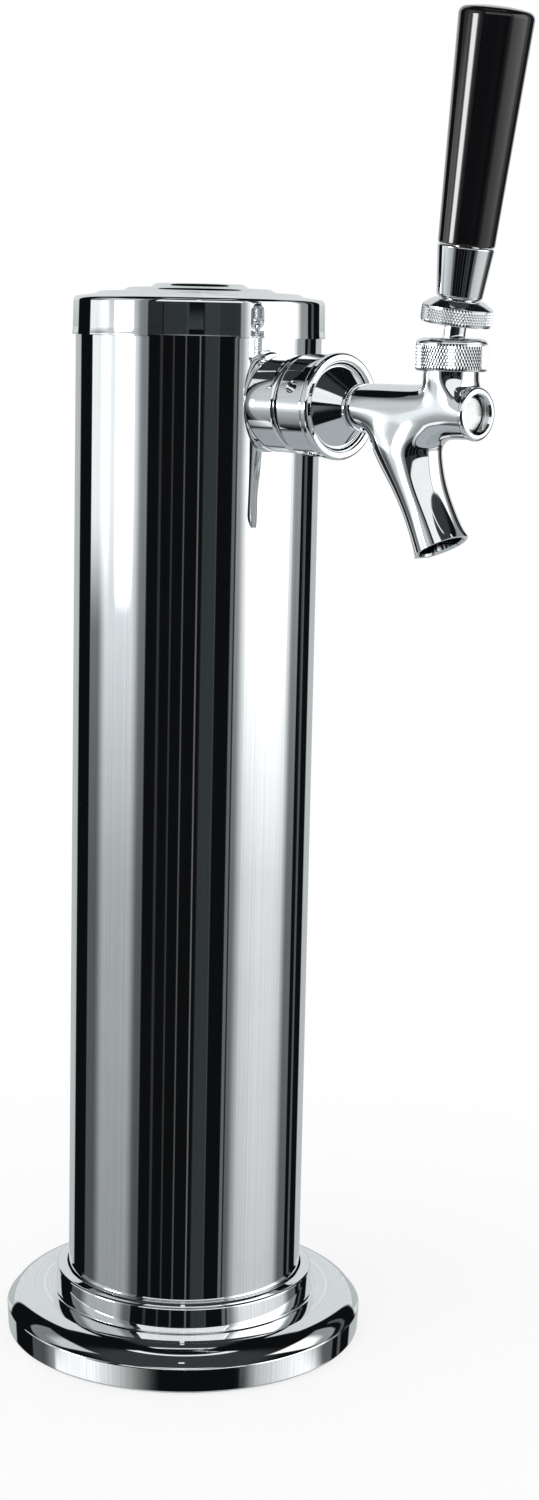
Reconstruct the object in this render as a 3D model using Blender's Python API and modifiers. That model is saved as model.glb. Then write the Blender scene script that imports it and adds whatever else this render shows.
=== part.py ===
"""Single-tap beer tower: a chromed column on a round base, with a faucet and its tap handle.

The tower stands on z = 0 with its axis on +Z, and the faucet points along -Y.
Moving pieces have their origin, or their parent empty, on the axis that they move on.
"""

import math

import bmesh
import bpy
from mathutils import Matrix, Vector

MM = 0.001

# Fits and rounding shared by many pieces
GAP = 0.3 * MM
CUT_OVERRUN = 1.0 * MM
MERGE_DISTANCE = 0.01 * MM
SMALL_CHAMFER = 0.6 * MM

# Column
COLUMN_DIAMETER = 76.2 * MM
COLUMN_WALL = 1.2 * MM
TOWER_HEIGHT = 335.0 * MM
FAUCET_DROP = 31.0 * MM

# Base, which stands out all round from the column
BASE_MARGIN = 20.1 * MM
RIM_HEIGHT = 8.0 * MM
COVER_WALL = 1.2 * MM
COVER_HEIGHT = 22.0 * MM
COVER_LIP_WIDTH = 2.6 * MM
COVER_LIP_HEIGHT = 2.4 * MM
COVER_NECK_HEIGHT = 18.4 * MM
COVER_CROWN_HEIGHT = 14.8 * MM
COVER_CROWN_WIDTH = 9.0 * MM
GASKET_THICKNESS = 2.0 * MM
FLANGE_THICKNESS = 4.0 * MM
FLANGE_MARGIN = 2.4 * MM
SPIGOT_WALL = 3.0 * MM
SPIGOT_HEIGHT = 12.0 * MM
SCREW_PLACE_SHARE = 0.418
SCREW_HOLE_DIAMETER = 7.0 * MM
SCREW_COUNT = 4

# Cap
CAP_WALL = 0.8 * MM
CAP_SKIRT_HEIGHT = 11.8 * MM
CAP_FLARE = 0.3 * MM
CAP_EDGE_RADIUS = 1.5 * MM
CAP_DOME_HEIGHT = 5.2 * MM
CAP_RIB_RADIUS_SHARES = (0.33, 0.44, 0.60, 0.80)
CAP_RIB_HEIGHT_SHARES = (1.0, 0.82, 0.66, 0.46)
CAP_RIB_SLOPE = 1.2 * MM
CAP_PLUG_WALL = 2.4 * MM
CAP_PLUG_HEIGHT = 9.0 * MM
CAP_LIFT_CLEARANCE = 0.3 * MM

# Insulation and beer line
INSULATION_DROP = 42.0 * MM
INSULATION_CLEARANCE = 0.6 * MM
INSULATION_BORE_DIAMETER = 40.0 * MM
LINE_OUTER_DIAMETER = 11.0 * MM
LINE_BORE_DIAMETER = 6.8 * MM
LINE_END_HEIGHT = 3.0 * MM

# Shank, through the wall of the column, with what it carries inside and outside
SHANK_THREAD_DIAMETER = 22.2 * MM
SHANK_BORE_DIAMETER = 4.8 * MM
SHANK_INSIDE_LENGTH = 28.9 * MM
SHANK_HEAD_DIAMETER = 25.0 * MM
SHANK_HEAD_THICKNESS = 2.2 * MM
SHANK_COUNTERBORE_DIAMETER = 17.6 * MM
SHANK_COUNTERBORE_DEPTH = 8.6 * MM
ADAPTER_DIAMETER = 29.4 * MM
ADAPTER_LENGTH = 8.2 * MM
SHANK_FLANGE_DIAMETER = 26.4 * MM
SHANK_FLANGE_THICKNESS = 1.2 * MM
NUT_LENGTH = 13.1 * MM
NUT_DIAMETER = 30.4 * MM
NUT_RING_DIAMETER = 31.5 * MM
NUT_RING_LENGTH = 2.4 * MM
NUT_GROOVE_WIDTH = 0.8 * MM
NUT_GROOVE_DEPTH = 0.5 * MM
NUT_LIP_THICKNESS = 2.0 * MM
NUT_BORE_DIAMETER = 25.8 * MM
SPANNER_HOLE_DIAMETER = 3.6 * MM
SPANNER_HOLE_COUNT = 4
SPANNER_HOLE_SETBACK = 7.6 * MM
COUPLING_WASHER_THICKNESS = 1.0 * MM
SADDLE_WASHER_DIAMETER = 30.0 * MM
SADDLE_WASHER_THICKNESS = 2.6 * MM
LOCKNUT_ACROSS_FLATS = 28.0 * MM
LOCKNUT_THICKNESS = 5.0 * MM
TAIL_NUT_ACROSS_FLATS = 27.0 * MM
TAIL_NUT_LENGTH = 13.0 * MM
TAIL_NUT_LIP = 2.0 * MM
TAIL_WASHER_THICKNESS = 1.6 * MM
TAIL_FLANGE_THICKNESS = 2.0 * MM
TAIL_FLANGE_DIAMETER = 20.0 * MM
TAIL_STEM_DIAMETER = 8.0 * MM
TAIL_BEND_RADIUS = 8.0 * MM
TAIL_STRAIGHT_LENGTH = 3.0 * MM
BARB_DIAMETER = 5.6 * MM
BARB_BORE_DIAMETER = 3.6 * MM
BARB_LENGTH = 20.0 * MM
BARB_INSERTION = 17.0 * MM
BARB_COUNT = 3
BARB_PITCH = 3.4 * MM
CLAMP_WALL = 0.8 * MM
CLAMP_WIDTH = 6.0 * MM
CLAMP_SETBACK = 4.0 * MM
CLAMP_EAR_HEIGHT = 3.0 * MM
CLAMP_EAR_WIDTH = 2.6 * MM

# Faucet body: each stretch of it starts where the one before it ends
HUB_THREAD_SETBACK = 1.2 * MM
HUB_CONE_LENGTH = 6.0 * MM
HUB_THREAD_DIAMETER = 25.2 * MM
HUB_NECK_DIAMETER = 13.4 * MM
BARREL_DIAMETER = 14.6 * MM
NOSE_REACH = 10.6 * MM
NOSE_DIAMETER = 15.0 * MM
NOSE_RING_LENGTH = 2.4 * MM
MAIN_BORE_DIAMETER = 10.8 * MM
SEAT_DEPTH = 5.8 * MM
REAR_CHAMBER_DIAMETER = 16.0 * MM
SPOUT_SETFORWARD = 15.0 * MM
SPOUT_TILT = math.radians(27.6)
SPOUT_LENGTH = 43.2 * MM
SPOUT_ROOT_DIAMETER = 16.8 * MM
SPOUT_WAIST_DIAMETER = 14.4 * MM
SPOUT_OUTLET_DIAMETER = 15.6 * MM
SPOUT_BORE_DIAMETER = 11.2 * MM
OUTLET_BORE_DIAMETER = 13.0 * MM
THROAT_SKEW = 3.8 * MM
# Rings of the spout: place down it, lean, and size across and along the faucet
SPOUT_RING_SHARES = (
    (0.27, 0.15, 1.15, 1.58),
    (0.41, 0.55, 1.08, 1.31),
    (0.58, 1.0, 1.03, 1.03),
    (0.78, 1.0, 1.0, 1.0),
)
STALK_DIAMETER = 15.9 * MM
STALK_TOP = 16.0 * MM
STALK_BORE_DIAMETER = 12.4 * MM
STALK_LEDGE = 11.5 * MM
STALK_FOOT = 9.0 * MM

# Plunger
SHAFT_GUIDE_DIAMETER = 10.1 * MM
SHAFT_FRONT_RECESS = 2.6 * MM
SHAFT_GUIDE_LENGTH = 15.0 * MM
SHAFT_STEM_DIAMETER = 4.8 * MM
SHAFT_SHOULDER_DIAMETER = 7.2 * MM
SHAFT_SHOULDER_LENGTH = 3.0 * MM
SHAFT_THREAD_DIAMETER = 3.8 * MM
SEAL_DIAMETER = 14.0 * MM
SEAL_THICKNESS = 2.4 * MM
SHAFT_NUT_ACROSS_FLATS = 8.0 * MM
SHAFT_NUT_THICKNESS = 2.2 * MM

# Lever, with heights measured from its ball's centre along its own axis
LEVER_SETFORWARD = 21.5 * MM
LEVER_PIVOT_HEIGHT = 16.4 * MM
LEVER_LEAN = math.radians(7.5)
LEVER_TRAVEL = math.radians(20.0)
LEVER_BALL_DIAMETER = 10.0 * MM
LEVER_NECK_DIAMETER = 6.3 * MM
LEVER_ARM_LENGTH = 14.5 * MM
LEVER_ARM_DIAMETER = 2.6 * MM
LEVER_TIP_DIAMETER = 3.8 * MM
LEVER_THREAD_DIAMETER = 9.0 * MM
LEVER_THREAD_END = 42.0 * MM
TIP_HOLE_CLEARANCE = 0.35 * MM
TIP_HOLE_FLOOR = 0.4 * MM
TIP_HOLE_FLARE = 1.0 * MM
BALL_WASHER_THICKNESS = 1.6 * MM
FRICTION_RING_THICKNESS = 1.2 * MM
FRICTION_RING_HEIGHT = 1.0 * MM
SLOT_SIDE_CLEARANCE = 0.9 * MM

# Bonnet and lever collar
BONNET_DIAMETER = 20.7 * MM
BONNET_BOTTOM = 12.4 * MM
BONNET_KNURL_HEIGHT = 6.6 * MM
BONNET_TOP = 20.9 * MM
BONNET_TOP_DIAMETER = 15.6 * MM
COLLAR_DIAMETER = 20.4 * MM
COLLAR_BOTTOM = 8.5 * MM
COLLAR_KNURL_HEIGHT = 5.0 * MM
COLLAR_CONE_HEIGHT = 1.8 * MM
COLLAR_TOP_DIAMETER = 14.4 * MM

# Ferrule and tap handle
FERRULE_BOTTOM_DIAMETER = 13.0 * MM
FERRULE_TOP_DIAMETER = 16.1 * MM
FERRULE_LENGTH = 14.6 * MM
INSERT_DIAMETER = 12.0 * MM
INSERT_LENGTH = 16.0 * MM
HANDLE_TOP_DIAMETER = 21.2 * MM
HANDLE_LENGTH = 63.8 * MM
HANDLE_EDGE_RADIUS = 2.2 * MM
HANDLE_CROWN = 0.6 * MM

# Places and radii that follow from these sizes; those of shank and faucet are distances from the tower's axis
COLUMN_RADIUS = COLUMN_DIAMETER / 2
COLUMN_BORE_RADIUS = COLUMN_RADIUS - COLUMN_WALL
SPIGOT_RADIUS = COLUMN_BORE_RADIUS - GAP
BASE_RADIUS = COLUMN_RADIUS + BASE_MARGIN
SCREW_CIRCLE_RADIUS = COLUMN_RADIUS + BASE_MARGIN * SCREW_PLACE_SHARE
COVER_BORE_RADIUS = COLUMN_RADIUS + GAP
FLANGE_BOTTOM = GASKET_THICKNESS + GAP
FLANGE_TOP = FLANGE_BOTTOM + FLANGE_THICKNESS
COLUMN_BOTTOM = FLANGE_TOP + GAP
COLUMN_TOP = TOWER_HEIGHT - 2 * CAP_WALL - GAP
FAUCET_HEIGHT = TOWER_HEIGHT - FAUCET_DROP
INSULATION_TOP = FAUCET_HEIGHT - INSULATION_DROP
SHANK_RADIUS = SHANK_THREAD_DIAMETER / 2
SHANK_REAR = COLUMN_BORE_RADIUS - SHANK_INSIDE_LENGTH
ADAPTER_FRONT = COLUMN_RADIUS + ADAPTER_LENGTH
NUT_REAR = ADAPTER_FRONT + GAP + SHANK_FLANGE_THICKNESS + GAP
NUT_FRONT = NUT_REAR + NUT_LENGTH
SHANK_HEAD_REAR = NUT_REAR + NUT_LIP_THICKNESS + GAP
SHANK_HEAD_FRONT = SHANK_HEAD_REAR + SHANK_HEAD_THICKNESS
HUB_REAR = SHANK_HEAD_FRONT + GAP + COUPLING_WASHER_THICKNESS + GAP
HUB_THREAD_END = NUT_FRONT - HUB_THREAD_SETBACK
HUB_CONE_END = HUB_THREAD_END + HUB_CONE_LENGTH
SPOUT_ROOT = HUB_CONE_END + SPOUT_SETFORWARD
LEVER_PIVOT = SPOUT_ROOT + LEVER_SETFORWARD
NOSE_FRONT = LEVER_PIVOT + NOSE_REACH
SEAT_PLACE = HUB_REAR + SEAT_DEPTH
SHAFT_FRONT = NOSE_FRONT - SHAFT_FRONT_RECESS
COLLAR_TOP = COLLAR_BOTTOM + COLLAR_KNURL_HEIGHT + COLLAR_CONE_HEIGHT
FERRULE_BOTTOM = COLLAR_TOP + GAP
FERRULE_TOP = FERRULE_BOTTOM + FERRULE_LENGTH
HANDLE_BOTTOM = FERRULE_TOP + GAP
HANDLE_TOP = HANDLE_BOTTOM + HANDLE_LENGTH

# Steps round a turned piece
WIDE_STEPS = 36
MIDDLE_STEPS = 24
SMALL_STEPS = 16
DRILL_STEPS = 10
HEX_SIDES = 6
CAGE_SIDES = 8
SMOOTHING_LEVEL = 2
BALL_STEPS = 5
BEND_STEPS = 5

CHROME = ("chrome", (0.80, 0.81, 0.83), 0.06, 1.0)
STEEL = ("plain_steel", (0.56, 0.57, 0.58), 0.35, 1.0)
BRASS = ("brass", (0.72, 0.56, 0.27), 0.30, 1.0)
BLACK_GLOSS = ("handle_black", (0.012, 0.012, 0.014), 0.12, 0.0)
RUBBER = ("rubber", (0.03, 0.03, 0.03), 0.7, 0.0)
FOAM = ("foam", (0.10, 0.10, 0.11), 0.9, 0.0)
NYLON = ("nylon", (0.85, 0.84, 0.80), 0.45, 0.0)
VINYL = ("vinyl", (0.80, 0.83, 0.82), 0.25, 0.0)


def clear_scene():
    """Removes what the startup scene holds."""
    for obj in list(bpy.data.objects):
        bpy.data.objects.remove(obj, do_unlink=True)


def make_collection(name):
    collection = bpy.data.collections.new(name)
    bpy.context.scene.collection.children.link(collection)
    return collection


clear_scene()
PARTS = make_collection("beer_tower")
CUTTERS = make_collection("cutters")


def make_material(name, finish):
    """A material of the piece's own, from a finish's colour, roughness and metallic value."""
    finish_name, colour, roughness, metallic = finish
    material = bpy.data.materials.new(f"{name}_{finish_name}")
    material.use_nodes = True
    shader = material.node_tree.nodes["Principled BSDF"]
    shader.inputs["Base Color"].default_value = (*colour, 1.0)
    shader.inputs["Roughness"].default_value = roughness
    shader.inputs["Metallic"].default_value = metallic
    return material


def make_empty(name, place, turn_x=0.0):
    """An empty that carries pieces: its own Z is the axis that they turn or slide on."""
    empty = bpy.data.objects.new(name, None)
    empty.location = place
    empty.rotation_euler = (turn_x, 0.0, 0.0)
    PARTS.objects.link(empty)
    return empty


def add_piece(name, mesh, finish, parent=None):
    """A finished piece of the tower, in its own named object."""
    piece = bpy.data.objects.new(name, mesh)
    mesh.materials.append(make_material(name, finish))
    piece.parent = parent
    PARTS.objects.link(piece)
    return piece


def add_cutter(name, mesh, parent=None, matrix=None):
    """A helper that a Boolean takes away from a piece."""
    cutter = bpy.data.objects.new(name, mesh)
    cutter.parent = parent
    cutter.hide_render = True
    cutter.display_type = "WIRE"
    if matrix is not None:
        cutter.matrix_local = matrix
    CUTTERS.objects.link(cutter)
    return cutter


def outline_mesh(name, points, closed):
    """The profile of a turned piece: (radius, height) pairs in the XZ plane."""
    mesh = bpy.data.meshes.new(name)
    edges = [(index, index + 1) for index in range(len(points) - 1)]
    if closed:
        edges.append((len(points) - 1, 0))
    mesh.from_pydata([(radius, 0.0, height) for radius, height in points], edges, [])
    return mesh


def spin_profile(obj, steps):
    """Turns the profile of an object round its own Z."""
    screw = obj.modifiers.new("turn", "SCREW")
    screw.axis = "Z"
    screw.angle = math.tau
    screw.steps = steps
    screw.render_steps = steps
    screw.use_merge_vertices = True
    screw.merge_threshold = MERGE_DISTANCE
    screw.use_smooth_shade = True
    return screw


def turned(name, points, finish, steps, parent=None, closed=True):
    """A piece turned from its profile, which runs down its outer side, top to bottom."""
    piece = add_piece(name, outline_mesh(name, points, closed), finish, parent)
    spin_profile(piece, steps)
    return piece


def turned_cutter(name, points, steps, parent=None, matrix=None, closed=False):
    cutter = add_cutter(name, outline_mesh(name, points, closed), parent, matrix)
    spin_profile(cutter, steps)
    return cutter


def rod(radius, bottom, top):
    """The profile of a plain solid cylinder."""
    return [(0.0, top), (radius, top), (radius, bottom), (0.0, bottom)]


def ring(inner, outer, bottom, top):
    """The profile of a plain ring."""
    return [(inner, top), (outer, top), (outer, bottom), (inner, bottom)]


def chamfered_ring(inner, outer, bottom, top, chamfer):
    """A ring whose two outer edges are broken."""
    return [
        (inner, top),
        (outer - chamfer, top),
        (outer, top - chamfer),
        (outer, bottom + chamfer),
        (outer - chamfer, bottom),
        (inner, bottom),
    ]


def arc(centre, radius, start, end, count):
    """Points on a round stretch of a profile, from one angle to the other, in degrees."""
    angles = [math.radians(start + (end - start) * step / count) for step in range(count + 1)]
    return [
        (centre[0] + radius * math.cos(angle), centre[1] + radius * math.sin(angle))
        for angle in angles
    ]


def subtract(piece, cutter, name="cut"):
    boolean = piece.modifiers.new(name, "BOOLEAN")
    boolean.operation = "DIFFERENCE"
    boolean.solver = "EXACT"
    boolean.object = cutter
    return boolean


def unite(piece, helper, name="join"):
    boolean = piece.modifiers.new(name, "BOOLEAN")
    boolean.operation = "UNION"
    boolean.solver = "EXACT"
    boolean.object = helper
    return boolean


def keep_common(piece, helper, name="trim"):
    boolean = piece.modifiers.new(name, "BOOLEAN")
    boolean.operation = "INTERSECT"
    boolean.solver = "EXACT"
    boolean.object = helper
    return boolean


def polygon_radius(across_flats, sides):
    """The corner radius of a regular nut."""
    return across_flats / 2 / math.cos(math.pi / sides)


def hex_nut(name, across_flats, bore_radius, rear, front, finish, parent):
    """A hexagonal nut with the corners of both faces turned down, bored through."""
    corner = polygon_radius(across_flats, HEX_SIDES)
    nut = add_piece(name, prism_mesh(name, corner, HEX_SIDES, rear, front), finish, parent)
    turned_down = chamfered_ring(0.0, corner, rear - SMALL_CHAMFER, front + SMALL_CHAMFER, 2 * SMALL_CHAMFER)
    keep_common(nut, turned_cutter(f"{name}_corners", turned_down, MIDDLE_STEPS, parent))
    bore = rod(bore_radius, rear - CUT_OVERRUN, front + CUT_OVERRUN)
    subtract(nut, turned_cutter(f"{name}_bore", bore, MIDDLE_STEPS, parent), "bore")
    return nut


def prism_mesh(name, radius, sides, bottom, top):
    """A straight prism or cylinder between two heights."""
    shape = bmesh.new()
    bmesh.ops.create_cone(
        shape,
        cap_ends=True,
        segments=sides,
        radius1=radius,
        radius2=radius,
        depth=top - bottom,
        matrix=Matrix.Translation((0.0, 0.0, (top + bottom) / 2)),
    )
    mesh = bpy.data.meshes.new(name)
    shape.to_mesh(mesh)
    shape.free()
    return mesh


def cylinder_cutter(name, radius, length, matrix, parent=None, sides=SMALL_STEPS):
    """A plain drill, centred on its matrix and running along its Z."""
    return add_cutter(name, prism_mesh(name, radius, sides, -length / 2, length / 2), parent, matrix)


def plate_mesh(name, points, thickness):
    """A flat outline, filled and thickened to both sides of its plane."""
    curve = bpy.data.curves.new(name, "CURVE")
    curve.dimensions = "2D"
    curve.fill_mode = "BOTH"
    curve.extrude = thickness / 2
    spline = curve.splines.new("POLY")
    spline.points.add(len(points) - 1)
    for point, (across, along) in zip(spline.points, points):
        point.co = (across, along, 0.0, 1.0)
    spline.use_cyclic_u = True
    return welded_mesh(name, curve)


def welded_mesh(name, curve):
    """The mesh of a curve, with its loose caps welded on."""
    holder = bpy.data.objects.new(f"{name}_curve", curve)
    PARTS.objects.link(holder)
    graph = bpy.context.evaluated_depsgraph_get()
    mesh = bpy.data.meshes.new_from_object(holder.evaluated_get(graph))
    mesh.name = name
    bpy.data.objects.remove(holder, do_unlink=True)
    shape = bmesh.new()
    shape.from_mesh(mesh)
    bmesh.ops.remove_doubles(shape, verts=shape.verts, dist=MERGE_DISTANCE)
    bmesh.ops.recalc_face_normals(shape, faces=shape.faces)
    shape.to_mesh(mesh)
    shape.free()
    return mesh


def tube_mesh(name, route, radius, resolution=3):
    """A solid round bar along a route of points."""
    curve = bpy.data.curves.new(name, "CURVE")
    curve.dimensions = "3D"
    curve.bevel_depth = radius
    curve.bevel_resolution = resolution
    curve.use_fill_caps = True
    spline = curve.splines.new("POLY")
    spline.points.add(len(route) - 1)
    for point, place in zip(spline.points, route):
        point.co = (*place, 1.0)
    return welded_mesh(name, curve)


# Base: gasket, flange and cover


def screw_places():
    """The centres of the screws on their circle, clear of the faucet's side."""
    for index in range(SCREW_COUNT):
        angle = math.tau * (index + 0.5) / SCREW_COUNT
        yield index, SCREW_CIRCLE_RADIUS * Vector((math.cos(angle), math.sin(angle), 0.0))


def drill_screw_holes(piece, bottom, top):
    """The screw holes through a plate of the base."""
    length = top - bottom + 2 * CUT_OVERRUN
    for index, place in screw_places():
        centre = Matrix.Translation(place + Vector((0.0, 0.0, (top + bottom) / 2)))
        drill = cylinder_cutter(f"{piece.name}_drill_{index}", SCREW_HOLE_DIAMETER / 2, length, centre)
        subtract(piece, drill, f"screw_hole_{index}")


def build_base_gasket():
    inner = SPIGOT_RADIUS - SPIGOT_WALL
    outer = BASE_RADIUS - COVER_WALL - GAP
    gasket = turned("base_gasket", ring(inner, outer, 0.0, GASKET_THICKNESS), RUBBER, WIDE_STEPS)
    drill_screw_holes(gasket, 0.0, GASKET_THICKNESS)


def build_mounting_flange():
    """The steel plate that is screwed down, with the spigot that the column is fixed on."""
    inner = SPIGOT_RADIUS - SPIGOT_WALL
    outer = BASE_RADIUS - COVER_WALL - FLANGE_MARGIN
    spigot_top = FLANGE_TOP + SPIGOT_HEIGHT
    profile = [
        (inner, spigot_top),
        (SPIGOT_RADIUS - SMALL_CHAMFER, spigot_top),
        (SPIGOT_RADIUS, spigot_top - SMALL_CHAMFER),
        (SPIGOT_RADIUS, FLANGE_TOP),
        (outer - SMALL_CHAMFER, FLANGE_TOP),
        (outer, FLANGE_TOP - SMALL_CHAMFER),
        (outer, FLANGE_BOTTOM),
        (inner, FLANGE_BOTTOM),
    ]
    flange = turned("mounting_flange", profile, STEEL, WIDE_STEPS)
    drill_screw_holes(flange, FLANGE_BOTTOM, FLANGE_TOP)


def cover_outline(inset):
    """The cover's spun section, from the lip at the column down to the rim, moved in by a wall."""
    lip_outer = COLUMN_RADIUS + GAP + COVER_LIP_WIDTH
    neck_outer = lip_outer - SMALL_CHAMFER
    crown_inner = BASE_RADIUS - COVER_CROWN_WIDTH
    neck_drop = COVER_NECK_HEIGHT - COVER_CROWN_HEIGHT
    crown_drop = COVER_CROWN_HEIGHT - RIM_HEIGHT
    neck = [
        (
            neck_outer + (crown_inner - neck_outer) * (1.0 - math.cos(angle)) - inset * math.cos(angle),
            COVER_NECK_HEIGHT - neck_drop * math.sin(angle) - inset * math.sin(angle),
        )
        for angle in (math.radians(step * 30.0) for step in range(4))
    ]
    crown = [
        (
            crown_inner + (COVER_CROWN_WIDTH - inset) * math.sin(angle),
            RIM_HEIGHT + (crown_drop - inset) * math.cos(angle),
        )
        for angle in (math.radians(step * 30.0) for step in range(1, 4))
    ]
    return neck + crown


def build_base_cover():
    """The bright spun cover that slips over the column and hides the flange and its screws."""
    lip_outer = COLUMN_RADIUS + GAP + COVER_LIP_WIDTH
    lip_bottom = COVER_HEIGHT - COVER_LIP_HEIGHT
    lip_round = COVER_LIP_WIDTH - COVER_WALL
    lip = [
        (COVER_BORE_RADIUS, COVER_HEIGHT),
        *arc((lip_outer - lip_round, COVER_HEIGHT - lip_round), lip_round, 90.0, 0.0, 3),
        (lip_outer, lip_bottom),
    ]
    outer = [*lip, *cover_outline(0.0), (BASE_RADIUS, GAP)]
    inner = [(COVER_BORE_RADIUS, COVER_NECK_HEIGHT - COVER_WALL), *cover_outline(COVER_WALL)[1:]]
    inner.append((BASE_RADIUS - COVER_WALL, GAP))
    turned("base_cover", outer + inner[::-1], CHROME, WIDE_STEPS)


# Column, insulation and cap


def build_column():
    """The polished tube, with the hole that the shank passes through."""
    profile = ring(COLUMN_BORE_RADIUS, COLUMN_RADIUS, COLUMN_BOTTOM, COLUMN_TOP)
    column = turned("column_tube", profile, CHROME, WIDE_STEPS)
    reach = 2 * (COLUMN_WALL + CUT_OVERRUN)
    wall_middle = COLUMN_RADIUS - COLUMN_WALL
    centre = Matrix.Translation((0.0, -wall_middle, FAUCET_HEIGHT)) @ Matrix.Rotation(math.pi / 2, 4, "X")
    hole = cylinder_cutter("shank_hole", SHANK_RADIUS + GAP, 2 * reach, centre, sides=MIDDLE_STEPS)
    subtract(column, hole, "shank_hole")


def build_insulation():
    """The foam sleeve round the beer line, standing on the flange's spigot."""
    bottom = FLANGE_TOP + SPIGOT_HEIGHT + GAP
    outer = COLUMN_BORE_RADIUS - INSULATION_CLEARANCE
    profile = ring(INSULATION_BORE_DIAMETER / 2, outer, bottom, INSULATION_TOP)
    turned("insulation_sleeve", profile, FOAM, MIDDLE_STEPS)


def cap_dome(edge_radius, base_height):
    """The ribbed dome of the cap: low concentric steps that rise to a flat middle."""
    points = [(0.0, base_height + CAP_DOME_HEIGHT)]
    for radius_share, height_share in zip(CAP_RIB_RADIUS_SHARES, CAP_RIB_HEIGHT_SHARES):
        step_radius = edge_radius * radius_share
        step_height = base_height + CAP_DOME_HEIGHT * height_share
        points.append((step_radius, step_height))
        points.append((step_radius + CAP_RIB_SLOPE / 2, step_height - CAP_RIB_SLOPE / 2))
    return points


def build_cap():
    """The pressed cap over the column's mouth, and the rubber plug that grips inside the tube."""
    inner = COLUMN_RADIUS + GAP
    outer = inner + CAP_WALL
    edge = arc((outer - CAP_EDGE_RADIUS - CAP_FLARE, TOWER_HEIGHT - CAP_EDGE_RADIUS), CAP_EDGE_RADIUS, 90.0, 0.0, 3)
    bottom = TOWER_HEIGHT - CAP_SKIRT_HEIGHT
    ceiling = TOWER_HEIGHT - CAP_WALL
    profile = [
        *cap_dome(outer, TOWER_HEIGHT),
        *edge,
        (outer, bottom),
        (inner, bottom),
        (inner, ceiling - CAP_WALL),
        (inner - CAP_WALL, ceiling),
        (0.0, ceiling),
    ]
    turned("top_cap", profile, CHROME, WIDE_STEPS, closed=False)
    plug_outer = COLUMN_BORE_RADIUS - CAP_LIFT_CLEARANCE
    plug_top = ceiling - GAP
    plug = chamfered_ring(
        plug_outer - CAP_PLUG_WALL, plug_outer, plug_top - CAP_PLUG_HEIGHT, plug_top, SMALL_CHAMFER
    )
    turned("cap_plug", plug, RUBBER, MIDDLE_STEPS)


# Shank: its local Z points out of the tower


def build_adapter(axis):
    """The collar between column and faucet, whose rear face follows the round of the column."""
    rear = COLUMN_RADIUS / 2
    profile = chamfered_ring(SHANK_RADIUS + GAP, ADAPTER_DIAMETER / 2, rear, ADAPTER_FRONT, SMALL_CHAMFER)
    adapter = turned("shank_adapter", profile, CHROME, MIDDLE_STEPS, axis)
    height = ADAPTER_DIAMETER + 2 * CUT_OVERRUN
    centre = Matrix.Rotation(math.pi / 2, 4, "X")
    subtract(
        adapter,
        cylinder_cutter("adapter_saddle", COLUMN_RADIUS + GAP, height, centre, axis, WIDE_STEPS * 2),
        "saddle",
    )


def build_shank(axis):
    """The threaded tube that carries the beer through the wall, and the ring that it bears on."""
    bore = SHANK_BORE_DIAMETER / 2
    counterbore = SHANK_COUNTERBORE_DIAMETER / 2
    head = SHANK_HEAD_DIAMETER / 2
    counterbore_floor = SHANK_HEAD_FRONT - SHANK_COUNTERBORE_DEPTH
    profile = [
        (counterbore, SHANK_HEAD_FRONT),
        (head, SHANK_HEAD_FRONT),
        (head, SHANK_HEAD_REAR),
        (SHANK_RADIUS, SHANK_HEAD_REAR),
        (SHANK_RADIUS, SHANK_REAR + SMALL_CHAMFER),
        (SHANK_RADIUS - SMALL_CHAMFER, SHANK_REAR),
        (bore, SHANK_REAR),
        (bore, counterbore_floor - SMALL_CHAMFER),
        (counterbore, counterbore_floor),
    ]
    turned("shank_body", profile, BRASS, MIDDLE_STEPS, axis)
    rear = ADAPTER_FRONT + GAP
    flange = ring(SHANK_RADIUS + GAP, SHANK_FLANGE_DIAMETER / 2, rear, rear + SHANK_FLANGE_THICKNESS)
    turned("shank_flange", flange, CHROME, MIDDLE_STEPS, axis)


def build_saddle_washer(axis):
    """The washer inside the column, curved to the wall on one face and flat on the other."""
    flat = COLUMN_BORE_RADIUS - SADDLE_WASHER_THICKNESS - saddle_depth(SADDLE_WASHER_DIAMETER)
    profile = ring(SHANK_RADIUS + GAP, SADDLE_WASHER_DIAMETER / 2, flat, COLUMN_RADIUS)
    washer = turned("saddle_washer", profile, STEEL, MIDDLE_STEPS, axis)
    height = SADDLE_WASHER_DIAMETER + 2 * CUT_OVERRUN
    centre = Matrix.Rotation(math.pi / 2, 4, "X")
    keep_common(
        washer,
        cylinder_cutter("column_inside", COLUMN_BORE_RADIUS - GAP, height, centre, axis, WIDE_STEPS * 2),
    )
    return flat


def saddle_depth(diameter):
    """How far the column's inner wall falls back across a washer."""
    return COLUMN_BORE_RADIUS - math.sqrt(COLUMN_BORE_RADIUS**2 - (diameter / 2) ** 2)


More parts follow.
